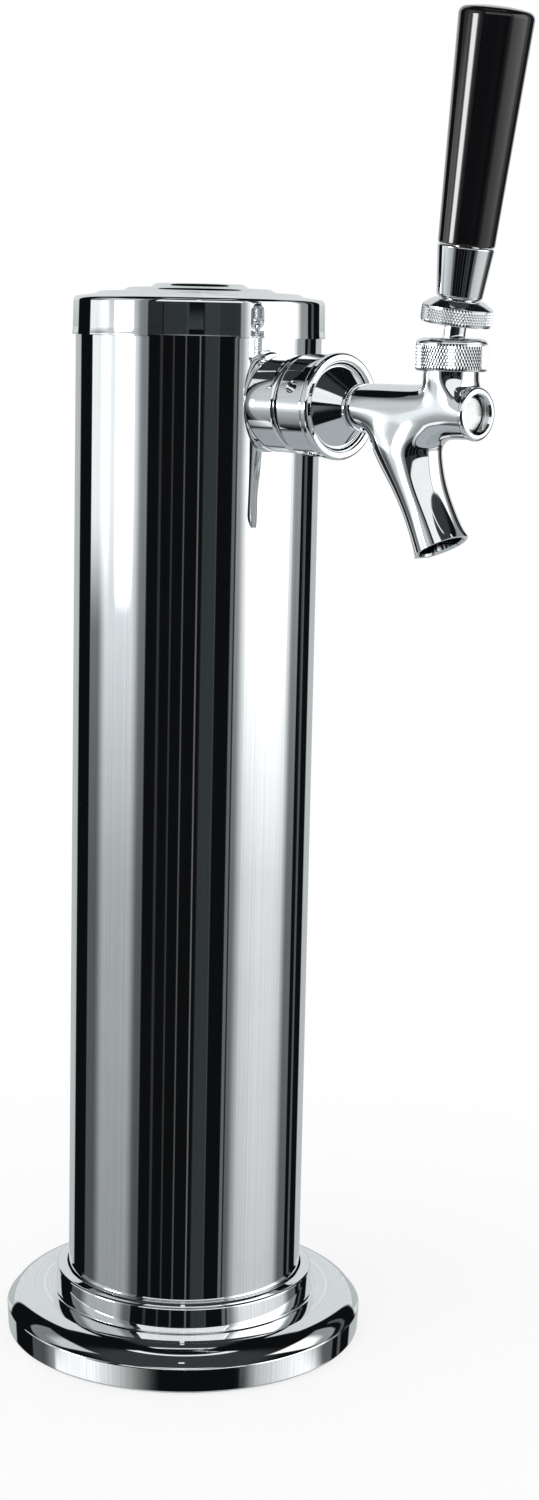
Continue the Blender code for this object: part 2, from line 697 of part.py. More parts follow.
def build_coupling(axis):
    """The coupling nut with its spanner holes, and the washer that it clamps."""
    lip_bore = SHANK_RADIUS + GAP
    bore = NUT_BORE_DIAMETER / 2
    body = NUT_DIAMETER / 2
    lip_front = NUT_REAR + NUT_LIP_THICKNESS
    ring_rear = NUT_FRONT - NUT_RING_LENGTH
    groove = body - NUT_GROOVE_DEPTH
    profile = [
        (bore, NUT_FRONT - SMALL_CHAMFER),
        (bore + SMALL_CHAMFER, NUT_FRONT),
        (NUT_RING_DIAMETER / 2 - SMALL_CHAMFER, NUT_FRONT),
        (NUT_RING_DIAMETER / 2, NUT_FRONT - SMALL_CHAMFER),
        (NUT_RING_DIAMETER / 2, ring_rear),
        (groove, ring_rear),
        (groove, ring_rear - NUT_GROOVE_WIDTH),
        (body, ring_rear - NUT_GROOVE_WIDTH),
        (body, NUT_REAR + SMALL_CHAMFER),
        (body - SMALL_CHAMFER, NUT_REAR),
        (lip_bore, NUT_REAR),
        (lip_bore, lip_front),
        (bore, lip_front),
    ]
    nut = turned("coupling_nut", profile, CHROME, MIDDLE_STEPS, axis)
    place = NUT_FRONT - SPANNER_HOLE_SETBACK
    for index in range(SPANNER_HOLE_COUNT):
        turn = Matrix.Rotation(math.tau * (index + 0.5) / SPANNER_HOLE_COUNT, 4, "Z")
        reach = Matrix.Translation((body, 0.0, place)) @ Matrix.Rotation(math.pi / 2, 4, "Y")
        drill = cylinder_cutter(
            f"spanner_drill_{index}",
            SPANNER_HOLE_DIAMETER / 2,
            body - bore + 2 * CUT_OVERRUN,
            turn @ reach,
            axis,
            DRILL_STEPS,
        )
        subtract(nut, drill, f"spanner_hole_{index}")
    rear = SHANK_HEAD_FRONT + GAP
    washer = ring(SHANK_COUNTERBORE_DIAMETER / 2, SHANK_HEAD_DIAMETER / 2, rear, rear + COUPLING_WASHER_THICKNESS)
    turned("coupling_washer", washer, NYLON, MIDDLE_STEPS, axis)


def build_tail(axis, saddle_flat):
    """What sits on the shank inside the column: locknut, tail nut, washer and the elbow."""
    locknut_front = saddle_flat - GAP
    hex_nut(
        "shank_locknut",
        LOCKNUT_ACROSS_FLATS,
        SHANK_RADIUS + GAP,
        locknut_front - LOCKNUT_THICKNESS,
        locknut_front,
        BRASS,
        axis,
    )
    washer_front = SHANK_REAR - GAP
    washer_rear = washer_front - TAIL_WASHER_THICKNESS
    flange_front = washer_rear - GAP
    flange_rear = flange_front - TAIL_FLANGE_THICKNESS
    washer = ring(SHANK_BORE_DIAMETER / 2 + GAP, TAIL_FLANGE_DIAMETER / 2, washer_rear, washer_front)
    turned("tail_washer", washer, RUBBER, SMALL_STEPS, axis)
    nut_rear = flange_rear - GAP - TAIL_NUT_LIP
    nut = hex_nut(
        "tail_nut",
        TAIL_NUT_ACROSS_FLATS,
        TAIL_STEM_DIAMETER / 2 + GAP,
        nut_rear,
        nut_rear + TAIL_NUT_LENGTH,
        BRASS,
        axis,
    )
    chamber = rod(SHANK_RADIUS + GAP, nut_rear + TAIL_NUT_LIP, nut_rear + TAIL_NUT_LENGTH + CUT_OVERRUN)
    subtract(nut, turned_cutter("tail_nut_chamber", chamber, MIDDLE_STEPS, axis), "chamber")
    return flange_front, flange_rear, nut_rear


def elbow_route(start, nut_rear):
    """The elbow's centre line, in the shank's frame: back along the axis, then straight down."""
    bend_start = nut_rear - TAIL_STRAIGHT_LENGTH
    centre = (-TAIL_BEND_RADIUS, bend_start)
    route = [(0.0, 0.0, start)]
    for height, along in arc(centre, TAIL_BEND_RADIUS, 0.0, -90.0, BEND_STEPS):
        route.append((0.0, height, along))
    bottom = -TAIL_BEND_RADIUS - BARB_LENGTH
    route.append((0.0, bottom, bend_start - TAIL_BEND_RADIUS))
    return route


def build_tailpiece(axis, flange_front, flange_rear, nut_rear):
    """The elbow that turns the beer line down the column, with its barbed end."""
    inside = flange_front - TAIL_FLANGE_THICKNESS / 2
    route = elbow_route(inside, nut_rear)
    elbow = add_piece("tailpiece", tube_mesh("tailpiece", route, BARB_DIAMETER / 2), BRASS, axis)
    flange = rod(TAIL_FLANGE_DIAMETER / 2, flange_rear, flange_front)
    unite(elbow, turned_cutter("tailpiece_flange", flange, SMALL_STEPS, axis))
    barb_bottom = route[-1]
    stem = BARB_DIAMETER / 2 - SMALL_CHAMFER / 2
    for index in range(BARB_COUNT):
        foot = BARB_PITCH * (index + 1)
        collar = [
            (0.0, foot + BARB_PITCH),
            (LINE_BORE_DIAMETER / 2 - GAP, foot + BARB_PITCH - SMALL_CHAMFER),
            (stem, foot),
            (0.0, foot),
        ]
        turn = Matrix.Translation(barb_bottom) @ Matrix.Rotation(-math.pi / 2, 4, "X")
        unite(elbow, turned_cutter(f"barb_{index}", collar, SMALL_STEPS, axis, turn), f"barb_{index}")
    bore_route = [(0.0, 0.0, flange_front + CUT_OVERRUN), *route[1:-1]]
    bore_route.append((0.0, barb_bottom[1] - CUT_OVERRUN, barb_bottom[2]))
    bore = add_cutter("tailpiece_bore", tube_mesh("tailpiece_bore", bore_route, BARB_BORE_DIAMETER / 2, 2), axis)
    subtract(elbow, bore, "bore")
    return barb_bottom


def smooth_step(share):
    return share * share * (3.0 - 2.0 * share)


def build_beer_line(barb_bottom):
    """The beer line, pushed on to the barb and led down the middle of the foam to the base."""
    line_back = -barb_bottom[2]
    top = FAUCET_HEIGHT + barb_bottom[1] + BARB_INSERTION
    straight_end = top - BARB_LENGTH
    settle_end = INSULATION_TOP - 2 * INSULATION_BORE_DIAMETER
    count = 9
    route = [(0.0, line_back, top), (0.0, line_back, straight_end)]
    for step in range(1, count):
        share = step / count
        height = straight_end + (settle_end - straight_end) * share
        route.append((0.0, line_back * (1.0 - smooth_step(share)), height))
    route.append((0.0, 0.0, settle_end))
    route.append((0.0, 0.0, LINE_END_HEIGHT))
    line = add_piece("beer_line", tube_mesh("beer_line", route, LINE_OUTER_DIAMETER / 2), VINYL)
    above = (route[0][0], route[0][1], top + CUT_OVERRUN)
    below = (0.0, 0.0, LINE_END_HEIGHT - CUT_OVERRUN)
    bore_route = [above, *route[1:-1], below]
    bore = add_cutter("beer_line_bore", tube_mesh("beer_line_bore", bore_route, LINE_BORE_DIAMETER / 2))
    subtract(line, bore, "bore")
    build_hose_clamp(line_back, top)


def build_hose_clamp(line_back, line_top):
    """The one-ear clamp that holds the line on the barb."""
    pivot = make_empty("clamp_centre", (0.0, line_back, line_top - CLAMP_SETBACK - CLAMP_WIDTH / 2))
    inner = LINE_OUTER_DIAMETER / 2 + GAP
    outer = inner + CLAMP_WALL
    half = CLAMP_WIDTH / 2
    clamp = turned("hose_clamp", ring(inner, outer, -half, half), STEEL, SMALL_STEPS, pivot)
    ear_outline = [
        (-CLAMP_EAR_WIDTH / 2, inner + CLAMP_WALL / 2),
        (CLAMP_EAR_WIDTH / 2, inner + CLAMP_WALL / 2),
        (CLAMP_EAR_WIDTH, outer + CLAMP_EAR_HEIGHT / 2),
        (0.0, outer + CLAMP_EAR_HEIGHT),
        (-CLAMP_EAR_WIDTH, outer + CLAMP_EAR_HEIGHT / 2),
    ]
    ear = add_cutter("clamp_ear", plate_mesh("clamp_ear", ear_outline, CLAMP_WIDTH), pivot)
    unite(clamp, ear)


# Faucet body: a cage of eight-sided rings, smoothed, then bored

SIDEWAYS = Vector((1.0, 0.0, 0.0))
LIMIT_SHARE = (2.0 + math.cos(math.tau / CAGE_SIDES)) / 3.0


def cage_radius(diameter):
    """The size of an eight-sided cage ring whose smoothed surface has this diameter."""
    return diameter / 2 / LIMIT_SHARE


def ring_angle(index):
    return math.tau * (index + 0.5) / CAGE_SIDES


def place_branch_ring(verts, centre, across, along):
    """Sets the eight corners of a branch on an oval, in the order in which they lie round its middle."""
    middle = sum((vert.co for vert in verts), Vector()) / len(verts)
    order = sorted(
        verts,
        key=lambda vert: math.atan2((vert.co - middle).dot(along), (vert.co - middle).dot(across)),
    )
    for index, vert in enumerate(order):
        angle = ring_angle(index) - math.pi
        vert.co = centre + math.cos(angle) * across + math.sin(angle) * along


def grow_branch(shape, patch, rings):
    """Extrudes a patch of the barrel into a branch, one ring of the cage at a time."""
    for centre, across, along in rings:
        edges = {edge for face in patch for edge in face.edges}
        corners = {vert for face in patch for vert in face.verts}
        made = bmesh.ops.extrude_face_region(shape, geom=[*patch, *edges, *corners])
        verts = [item for item in made["geom"] if isinstance(item, bmesh.types.BMVert)]
        patch = [item for item in made["geom"] if isinstance(item, bmesh.types.BMFace)]
        place_branch_ring(verts, centre, across, along)


def barrel_stations():
    """The barrel's cage rings: distance from the tower's axis, and the smoothed diameter there."""
    spout_half = SPOUT_ROOT_DIAMETER / 2 / math.cos(SPOUT_TILT)
    spout_middle = SPOUT_ROOT + BARREL_DIAMETER / 2 * math.tan(SPOUT_TILT)
    stalk_half = STALK_DIAMETER / 2
    return [
        (HUB_CONE_END - 2 * SMALL_CHAMFER, HUB_NECK_DIAMETER),
        (HUB_CONE_END + SMALL_CHAMFER, HUB_NECK_DIAMETER),
        (spout_middle - spout_half, BARREL_DIAMETER),
        (LEVER_PIVOT - stalk_half + THROAT_SKEW, BARREL_DIAMETER),
        (min(LEVER_PIVOT + stalk_half, NOSE_FRONT - NOSE_RING_LENGTH), BARREL_DIAMETER),
        (NOSE_FRONT - SMALL_CHAMFER, BARREL_DIAMETER),
    ]


def faucet_cage(name):
    """The body's cage, in the shank's frame: X across, Y up and Z out of the tower."""
    stations = barrel_stations()
    start = stations[0][0]
    end = stations[-1][0]
    shape = bmesh.new()
    turn = Matrix.Rotation(math.pi / CAGE_SIDES, 4, "Z")
    bmesh.ops.create_cone(
        shape,
        cap_ends=True,
        segments=CAGE_SIDES,
        radius1=cage_radius(stations[0][1]),
        radius2=cage_radius(stations[-1][1]),
        depth=end - start,
        matrix=Matrix.Translation((0.0, 0.0, (start + end) / 2)) @ turn,
    )
    for place, _ in stations[1:-1]:
        bmesh.ops.bisect_plane(
            shape,
            geom=[*shape.verts, *shape.edges, *shape.faces],
            dist=MERGE_DISTANCE,
            plane_co=(0.0, 0.0, place),
            plane_no=(0.0, 0.0, 1.0),
        )
    for place, diameter in stations:
        for vert in shape.verts:
            if abs(vert.co.z - place) < MERGE_DISTANCE:
                scale = cage_radius(diameter) / vert.co.xy.length
                vert.co.x *= scale
                vert.co.y *= scale
    for vert in shape.verts:
        if abs(vert.co.z - stations[3][0]) < MERGE_DISTANCE:
            vert.co.z -= THROAT_SKEW * vert.co.y / cage_radius(BARREL_DIAMETER)
    shape.normal_update()
    spout_patch = patch_between(shape, stations[2][0], stations[3][0], -1.0)
    stalk_patch = patch_between(shape, stations[3][0], stations[4][0], 1.0)
    grow_spout(shape, spout_patch)
    grow_stalk(shape, stalk_patch)
    sharpen_ends(shape, stations)
    bmesh.ops.recalc_face_normals(shape, faces=shape.faces)
    mesh = bpy.data.meshes.new(name)
    shape.to_mesh(mesh)
    shape.free()
    mesh.shade_smooth()
    return mesh


def patch_between(shape, low, high, side):
    """The three faces of the barrel that look up or down, between two of its rings."""
    return [
        face
        for face in shape.faces
        if low < face.calc_center_median().z < high
        and len(face.verts) == 4
        and side * face.normal.y > math.sin(math.radians(20.0))
    ]


def grow_spout(shape, patch):
    """The spout, leaning forward out of the barrel's underside from a long throat."""
    down = Vector((0.0, -math.cos(SPOUT_TILT), math.sin(SPOUT_TILT)))
    root = Vector((0.0, 0.0, SPOUT_ROOT))
    waist = cage_radius(SPOUT_WAIST_DIAMETER)
    outlet = cage_radius(SPOUT_OUTLET_DIAMETER)
    rings = []
    for place_share, lean_share, across_share, along_share in SPOUT_RING_SHARES:
        lean = SPOUT_TILT * lean_share
        along = Vector((0.0, math.sin(lean), math.cos(lean)))
        centre = root + down * (SPOUT_LENGTH * place_share)
        rings.append((centre, SIDEWAYS * (waist * across_share), along * (waist * along_share)))
    along = Vector((0.0, math.sin(SPOUT_TILT), math.cos(SPOUT_TILT)))
    rings.append((root + down * SPOUT_LENGTH, SIDEWAYS * outlet, along * outlet))
    grow_branch(shape, patch, rings)


def grow_stalk(shape, patch):
    """The round stalk that the bonnet screws on to, upright on the front of the barrel."""
    radius = cage_radius(STALK_DIAMETER)
    axis = Vector((0.0, 0.0, LEVER_PIVOT))
    up = Vector((0.0, 1.0, 0.0))
    outwards = Vector((0.0, 0.0, 1.0))
    heights = (STALK_FOOT, STALK_LEDGE, STALK_TOP)
    rings = [(axis + up * height, SIDEWAYS * radius, outwards * radius) for height in heights]
    grow_branch(shape, patch, rings)


def sharpen_ends(shape, stations):
    """Creases the rims of the cage's open ends, so that smoothing leaves them round and flat."""
    crease = shape.edges.layers.float.new("crease_edge")
    for face in shape.faces:
        if len(face.verts) > 4:
            for edge in face.edges:
                edge[crease] = 1.0
    spout_end = SPOUT_LENGTH * math.cos(SPOUT_TILT) - SPOUT_OUTLET_DIAMETER
    for face in shape.faces:
        centre = face.calc_center_median()
        at_stalk_top = centre.y > STALK_TOP - MERGE_DISTANCE
        at_outlet = centre.y < -spout_end and face.normal.y < -math.cos(math.radians(45.0))
        if at_stalk_top or at_outlet:
            for edge in face.edges:
                if len(edge.link_faces) == 2 and edge.calc_face_angle(0.0) > math.radians(30.0):
                    edge[crease] = 1.0


def spout_matrix():
    """A frame at the spout's root in the shank's frame, with its Z down the spout."""
    turn = Matrix.Rotation(math.pi / 2 - SPOUT_TILT, 4, "X")
    return Matrix.Translation((0.0, 0.0, SPOUT_ROOT)) @ turn


def build_faucet_body(axis):
    """The cast body: threaded hub, barrel, nose, stalk and spout, with the bores for its works."""
    body = add_piece("faucet_body", faucet_cage("faucet_body"), CHROME, axis)
    smoothing = body.modifiers.new("smooth", "SUBSURF")
    smoothing.levels = SMOOTHING_LEVEL
    smoothing.render_levels = SMOOTHING_LEVEL
    unite(body, turned_cutter("hub_form", hub_profile(), MIDDLE_STEPS, axis), "hub")
    unite(body, turned_cutter("nose_form", nose_profile(), MIDDLE_STEPS, axis), "nose")
    main_bore = [
        (0.0, NOSE_FRONT + CUT_OVERRUN),
        (MAIN_BORE_DIAMETER / 2, NOSE_FRONT + CUT_OVERRUN),
        (MAIN_BORE_DIAMETER / 2, SEAT_PLACE),
        (REAR_CHAMBER_DIAMETER / 2, SEAT_PLACE),
        (REAR_CHAMBER_DIAMETER / 2, HUB_REAR - CUT_OVERRUN),
        (0.0, HUB_REAR - CUT_OVERRUN),
    ]
    subtract(body, turned_cutter("main_bore", main_bore, SMALL_STEPS, axis), "main_bore")
    spout_bore = [
        (0.0, SPOUT_LENGTH + CUT_OVERRUN),
        (OUTLET_BORE_DIAMETER / 2, SPOUT_LENGTH + CUT_OVERRUN),
        (OUTLET_BORE_DIAMETER / 2, SPOUT_LENGTH),
        (SPOUT_BORE_DIAMETER / 2, SPOUT_LENGTH / 2),
        (SPOUT_BORE_DIAMETER / 2, 0.0),
        (0.0, 0.0),
    ]
    subtract(body, turned_cutter("spout_bore", spout_bore, SMALL_STEPS, axis, spout_matrix()), "spout_bore")
    stalk_bore = rod(STALK_BORE_DIAMETER / 2, STALK_LEDGE, STALK_TOP + CUT_OVERRUN)
    upright = Matrix.Translation((0.0, 0.0, LEVER_PIVOT)) @ Matrix.Rotation(-math.pi / 2, 4, "X")
    subtract(body, turned_cutter("stalk_bore", stalk_bore, SMALL_STEPS, axis, upright), "stalk_bore")
    subtract(body, lever_slot(axis), "lever_slot")


def hub_profile():
    """The threaded hub inside the coupling nut, and the cone that narrows to the neck."""
    thread = HUB_THREAD_DIAMETER / 2
    neck = HUB_NECK_DIAMETER / 2
    return [
        (0.0, HUB_CONE_END + SMALL_CHAMFER),
        (neck - SMALL_CHAMFER, HUB_CONE_END + SMALL_CHAMFER),
        (neck, HUB_CONE_END),
        (thread - SMALL_CHAMFER, HUB_THREAD_END + SMALL_CHAMFER),
        (thread, HUB_THREAD_END),
        (thread, HUB_REAR + SMALL_CHAMFER),
        (thread - SMALL_CHAMFER, HUB_REAR),
        (0.0, HUB_REAR),
    ]


def nose_profile():
    """The ring at the front of the barrel, with a broken edge."""
    outer = NOSE_DIAMETER / 2
    rear = NOSE_FRONT - NOSE_RING_LENGTH
    return [
        (0.0, NOSE_FRONT),
        (outer - SMALL_CHAMFER, NOSE_FRONT),
        (outer, NOSE_FRONT - SMALL_CHAMFER),
        (outer, rear),
        (0.0, rear),
    ]


def swing_reach(depth, angle, radius):
    """How far back a bar of this radius reaches, at a depth below the ball's centre."""
    return depth * math.tan(angle) + radius / math.cos(angle)


def lever_slot(axis):
    """The slot below the ball that the lever's arm swings in, wider towards the rear."""
    swing = LEVER_LEAN + LEVER_TRAVEL
    arm = LEVER_ARM_DIAMETER / 2 + GAP
    tip = LEVER_TIP_DIAMETER / 2
    top = STALK_LEDGE + CUT_OVERRUN
    roof = MAIN_BORE_DIAMETER / 2 + SLOT_SIDE_CLEARANCE
    tip_back = LEVER_ARM_LENGTH * math.sin(swing) + tip + TIP_HOLE_CLEARANCE
    floor = MAIN_BORE_DIAMETER / 4
    front = LEVER_ARM_DIAMETER
    outline = [
        (front, top),
        (-swing_reach(LEVER_PIVOT_HEIGHT - top, swing, arm), top),
        (-swing_reach(LEVER_PIVOT_HEIGHT - roof, swing, arm), roof),
        (-tip_back, roof - SMALL_CHAMFER),
        (-tip_back, floor),
        (front, floor),
    ]
    width = LEVER_TIP_DIAMETER + SLOT_SIDE_CLEARANCE
    stand = Matrix.Rotation(-math.pi / 2, 4, "Y")
    centre = Matrix.Translation((0.0, 0.0, LEVER_PIVOT))
    points = [(along, height) for along, height in outline]
    return add_cutter("lever_slot", plate_mesh("lever_slot", points, width), axis, centre @ stand)


# Plunger


def build_plunger(axis):
    """The plunger that opens the seat: guide, stem, seal and the nut that holds the seal."""
    guide = SHAFT_GUIDE_DIAMETER / 2
    stem = SHAFT_STEM_DIAMETER / 2
    shoulder = SHAFT_SHOULDER_DIAMETER / 2
    thread = SHAFT_THREAD_DIAMETER / 2
    guide_rear = SHAFT_FRONT - SHAFT_GUIDE_LENGTH
    seal_front = SEAT_PLACE - GAP
    seal_rear = seal_front - SEAL_THICKNESS
    nut_rear = seal_rear - GAP - SHAFT_NUT_THICKNESS
    shoulder_rear = seal_front + GAP
    profile = [
        (0.0, SHAFT_FRONT),
        (guide - SMALL_CHAMFER, SHAFT_FRONT),
        (guide, SHAFT_FRONT - SMALL_CHAMFER),
        (guide, guide_rear),
        (stem, guide_rear - SMALL_CHAMFER),
        (stem, shoulder_rear + SHAFT_SHOULDER_LENGTH),
        (shoulder, shoulder_rear + SHAFT_SHOULDER_LENGTH),
        (shoulder, shoulder_rear),
        (thread, shoulder_rear),
        (thread, nut_rear - SMALL_CHAMFER),
        (0.0, nut_rear - SMALL_CHAMFER),
    ]
    shaft = turned("faucet_shaft", profile, STEEL, SMALL_STEPS, axis, closed=False)
    subtract(shaft, tip_hole(axis), "tip_hole")
    seal = ring(thread + GAP, SEAL_DIAMETER / 2, seal_rear, seal_front)
    turned("shaft_seal", seal, RUBBER, SMALL_STEPS, axis)
    hex_nut("shaft_nut", SHAFT_NUT_ACROSS_FLATS, thread + GAP, nut_rear, seal_rear - GAP, BRASS, axis)


def tip_hole(axis):
    """The hole across the plunger that the lever's tip works in, flared at its mouth."""
    radius = LEVER_TIP_DIAMETER / 2 + TIP_HOLE_CLEARANCE
    place = LEVER_PIVOT - LEVER_ARM_LENGTH * math.sin(LEVER_LEAN)
    mouth = SHAFT_GUIDE_DIAMETER / 2
    profile = [
        (0.0, mouth + CUT_OVERRUN),
        (radius + TIP_HOLE_FLARE, mouth + CUT_OVERRUN),
        (radius + TIP_HOLE_FLARE, mouth),
        (radius, mouth - TIP_HOLE_FLARE),
        (radius, -TIP_HOLE_FLOOR),
        (0.0, -TIP_HOLE_FLOOR),
    ]
    upright = Matrix.Translation((0.0, 0.0, place)) @ Matrix.Rotation(-math.pi / 2, 4, "X")
    return turned_cutter("tip_hole", profile, SMALL_STEPS, axis, upright)


# Lever and what stands on it


def ball_arc(radius, start, end):
    return arc((0.0, 0.0), radius, start, end, BALL_STEPS)


def build_lever(pivot):
    """The lever: a ball in the body's socket, an arm with a round tip below and a thread above."""
    ball = LEVER_BALL_DIAMETER / 2
    neck = LEVER_NECK_DIAMETER / 2
    arm = LEVER_ARM_DIAMETER / 2
    tip = LEVER_TIP_DIAMETER / 2
    thread = LEVER_THREAD_DIAMETER / 2
    neck_angle = math.degrees(math.acos(neck / ball))
    arm_angle = math.degrees(math.acos(arm / ball))
    tip_angle = math.degrees(math.acos(arm / tip))
    profile = [
        (0.0, LEVER_THREAD_END),
        (thread - SMALL_CHAMFER, LEVER_THREAD_END),
        (thread, LEVER_THREAD_END - SMALL_CHAMFER),
        (thread, COLLAR_BOTTOM + SMALL_CHAMFER),
        (neck, COLLAR_BOTTOM),
        *ball_arc(ball, neck_angle, -arm_angle),
        *arc((0.0, -LEVER_ARM_LENGTH), tip, tip_angle, -90.0, BALL_STEPS),
    ]
    profile[-1] = (0.0, profile[-1][1])
    turned("lever", profile, CHROME, SMALL_STEPS, pivot, closed=False)


def build_socket(upright):
    """The seats of the ball: a washer below it, and the friction ring that the bonnet presses on it."""
    ball = LEVER_BALL_DIAMETER / 2
    bore = STALK_BORE_DIAMETER / 2 - GAP
    bottom = STALK_LEDGE + GAP
    top = bottom + BALL_WASHER_THICKNESS
    reach = ball + GAP
    seat = math.sqrt(reach**2 - (LEVER_PIVOT_HEIGHT - top) ** 2)
    turned("ball_washer", ring(seat, bore, bottom, top), NYLON, SMALL_STEPS, upright)
    ring_bottom = LEVER_PIVOT_HEIGHT + FRICTION_RING_HEIGHT
    ring_top = ring_bottom + FRICTION_RING_THICKNESS
    low = math.sqrt(reach**2 - FRICTION_RING_HEIGHT**2)
    high = math.sqrt(reach**2 - (FRICTION_RING_HEIGHT + FRICTION_RING_THICKNESS) ** 2)
    outer = STALK_DIAMETER / 2
    profile = [(high, ring_top), (outer, ring_top), (outer, ring_bottom), (low, ring_bottom)]
    turned("friction_ring", profile, NYLON, SMALL_STEPS, upright)
    return ring_top


def build_bonnet(upright, ring_top):
    """The knurled bonnet that holds the ball down, with a flared hole for the lever's neck."""
    thread = STALK_DIAMETER / 2 + GAP
    outer = BONNET_DIAMETER / 2
    top = BONNET_TOP_DIAMETER / 2
    knurl_top = BONNET_BOTTOM + BONNET_KNURL_HEIGHT
    ceiling = ring_top + GAP
    swing = LEVER_LEAN + LEVER_TRAVEL
    neck = LEVER_NECK_DIAMETER / 2 + GAP
    hole_top = swing_reach(BONNET_TOP - LEVER_PIVOT_HEIGHT, swing, neck)
    hole_bottom = swing_reach(ceiling - LEVER_PIVOT_HEIGHT, swing, neck)
    shoulder = (outer - top, BONNET_TOP - knurl_top)
    curve = [
        (outer - shoulder[0] * (1.0 - math.sin(angle)), knurl_top + shoulder[1] * math.cos(angle))
        for angle in (math.radians(step * 22.5) for step in range(1, 5))
    ]
    profile = [
        (hole_top, BONNET_TOP),
        (top, BONNET_TOP),
        *curve,
        (outer, BONNET_BOTTOM + SMALL_CHAMFER / 2),
        (outer - SMALL_CHAMFER / 2, BONNET_BOTTOM),
        (thread, BONNET_BOTTOM),
        (thread, ceiling),
        (hole_bottom, ceiling),
    ]
    turned("bonnet", profile, CHROME, MIDDLE_STEPS, upright)


def build_collar(pivot):
    """The knurled collar that locks the ferrule on the lever's thread."""
    outer = COLLAR_DIAMETER / 2
    bore = LEVER_THREAD_DIAMETER / 2 + GAP
    knurl_top = COLLAR_BOTTOM + COLLAR_KNURL_HEIGHT
    edge = SMALL_CHAMFER / 2
    profile = [
        (bore, COLLAR_TOP),
        (COLLAR_TOP_DIAMETER / 2, COLLAR_TOP),
        (outer - edge, knurl_top),
        (outer, knurl_top - edge),
        (outer, COLLAR_BOTTOM + edge),
        (outer - edge, COLLAR_BOTTOM),
        (bore, COLLAR_BOTTOM),
    ]
    turned("lever_collar", profile, CHROME, MIDDLE_STEPS, pivot)


def build_handle(pivot):
    """The tapered handle on its ferrule, with the threaded insert inside it."""
    thread = LEVER_THREAD_DIAMETER / 2 + GAP
    foot = FERRULE_BOTTOM_DIAMETER / 2
    head = FERRULE_TOP_DIAMETER / 2
    ferrule = [
        (thread, FERRULE_TOP),
        (head - SMALL_CHAMFER / 2, FERRULE_TOP),
        (head, FERRULE_TOP - SMALL_CHAMFER / 2),
        (foot, FERRULE_BOTTOM + SMALL_CHAMFER),
        (foot - SMALL_CHAMFER, FERRULE_BOTTOM),
        (thread, FERRULE_BOTTOM),
    ]
    turned("handle_ferrule", ferrule, CHROME, MIDDLE_STEPS, pivot)
    insert = INSERT_DIAMETER / 2
    insert_top = HANDLE_BOTTOM + INSERT_LENGTH
    turned("handle_insert", ring(thread, insert, HANDLE_BOTTOM, insert_top), BRASS, SMALL_STEPS, pivot)
    top = HANDLE_TOP_DIAMETER / 2
    pocket = insert + GAP
    pocket_top = max(insert_top, LEVER_THREAD_END) + GAP
    handle = [
        (0.0, HANDLE_TOP + HANDLE_CROWN),
        *arc((top - HANDLE_EDGE_RADIUS, HANDLE_TOP - HANDLE_EDGE_RADIUS), HANDLE_EDGE_RADIUS, 90.0, 0.0, 4),
        (head, HANDLE_BOTTOM + SMALL_CHAMFER / 2),
        (head - SMALL_CHAMFER / 2, HANDLE_BOTTOM),
        (pocket, HANDLE_BOTTOM),
        (pocket, pocket_top),
        (0.0, pocket_top),
    ]
    turned("tap_handle", handle, BLACK_GLOSS, MIDDLE_STEPS, pivot, closed=False)


def main():
    shank_axis = make_empty("shank_axis", (0.0, 0.0, FAUCET_HEIGHT), math.pi / 2)
    upright = make_empty("stalk_axis", (0.0, -LEVER_PIVOT, FAUCET_HEIGHT))
    pivot_place = (0.0, -LEVER_PIVOT, FAUCET_HEIGHT + LEVER_PIVOT_HEIGHT)
    lever_pivot = make_empty("lever_pivot", pivot_place, LEVER_LEAN)

    build_base_gasket()
    build_mounting_flange()
    build_base_cover()
    build_column()
    build_insulation()
    build_cap()

    build_adapter(shank_axis)
    build_shank(shank_axis)
    saddle_flat = build_saddle_washer(shank_axis)
    build_coupling(shank_axis)
    flange_front, flange_rear, nut_rear = build_tail(shank_axis, saddle_flat)
    barb_bottom = build_tailpiece(shank_axis, flange_front, flange_rear, nut_rear)
    build_beer_line(barb_bottom)

    build_faucet_body(shank_axis)
    build_plunger(shank_axis)
    build_lever(lever_pivot)
    ring_top = build_socket(upright)
    build_bonnet(upright, ring_top)
    build_collar(lever_pivot)
    build_handle(lever_pivot)


main()
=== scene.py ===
import math

import bpy
from mathutils import Matrix, Vector


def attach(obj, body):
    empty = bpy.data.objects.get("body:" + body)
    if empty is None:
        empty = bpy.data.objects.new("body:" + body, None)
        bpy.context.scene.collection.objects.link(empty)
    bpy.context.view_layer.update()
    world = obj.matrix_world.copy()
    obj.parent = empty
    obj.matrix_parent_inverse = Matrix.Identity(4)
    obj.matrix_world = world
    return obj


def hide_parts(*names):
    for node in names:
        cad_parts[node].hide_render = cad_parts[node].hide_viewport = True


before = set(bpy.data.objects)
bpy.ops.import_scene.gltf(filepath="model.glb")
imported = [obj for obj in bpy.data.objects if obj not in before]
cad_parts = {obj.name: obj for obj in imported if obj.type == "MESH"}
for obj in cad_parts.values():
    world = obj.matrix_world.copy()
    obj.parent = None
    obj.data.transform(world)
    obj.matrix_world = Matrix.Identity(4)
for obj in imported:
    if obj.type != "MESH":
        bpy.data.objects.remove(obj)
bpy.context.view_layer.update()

MM = 0.001

# Sizes of the tower, as the frame has them
COLUMN_RADIUS = 38.1 * MM
COLUMN_BORE = 36.9 * MM
COLUMN_FOOT = 6.6 * MM
COLUMN_MOUTH = 333.1 * MM
CAP_TOP = 335.0 * MM
FAUCET_HEIGHT = 304.0 * MM
BASE_RADIUS = 58.2 * MM
SHANK_HOLE = 11.4 * MM
STALK_PLACE = 102.5 * MM
PIVOT_HEIGHT = 320.4 * MM
LEVER_LEAN = math.radians(7.5)
SPOUT_ROOT = 81.0 * MM
SPOUT_TILT = math.radians(27.6)
SPOUT_LENGTH = 43.2 * MM

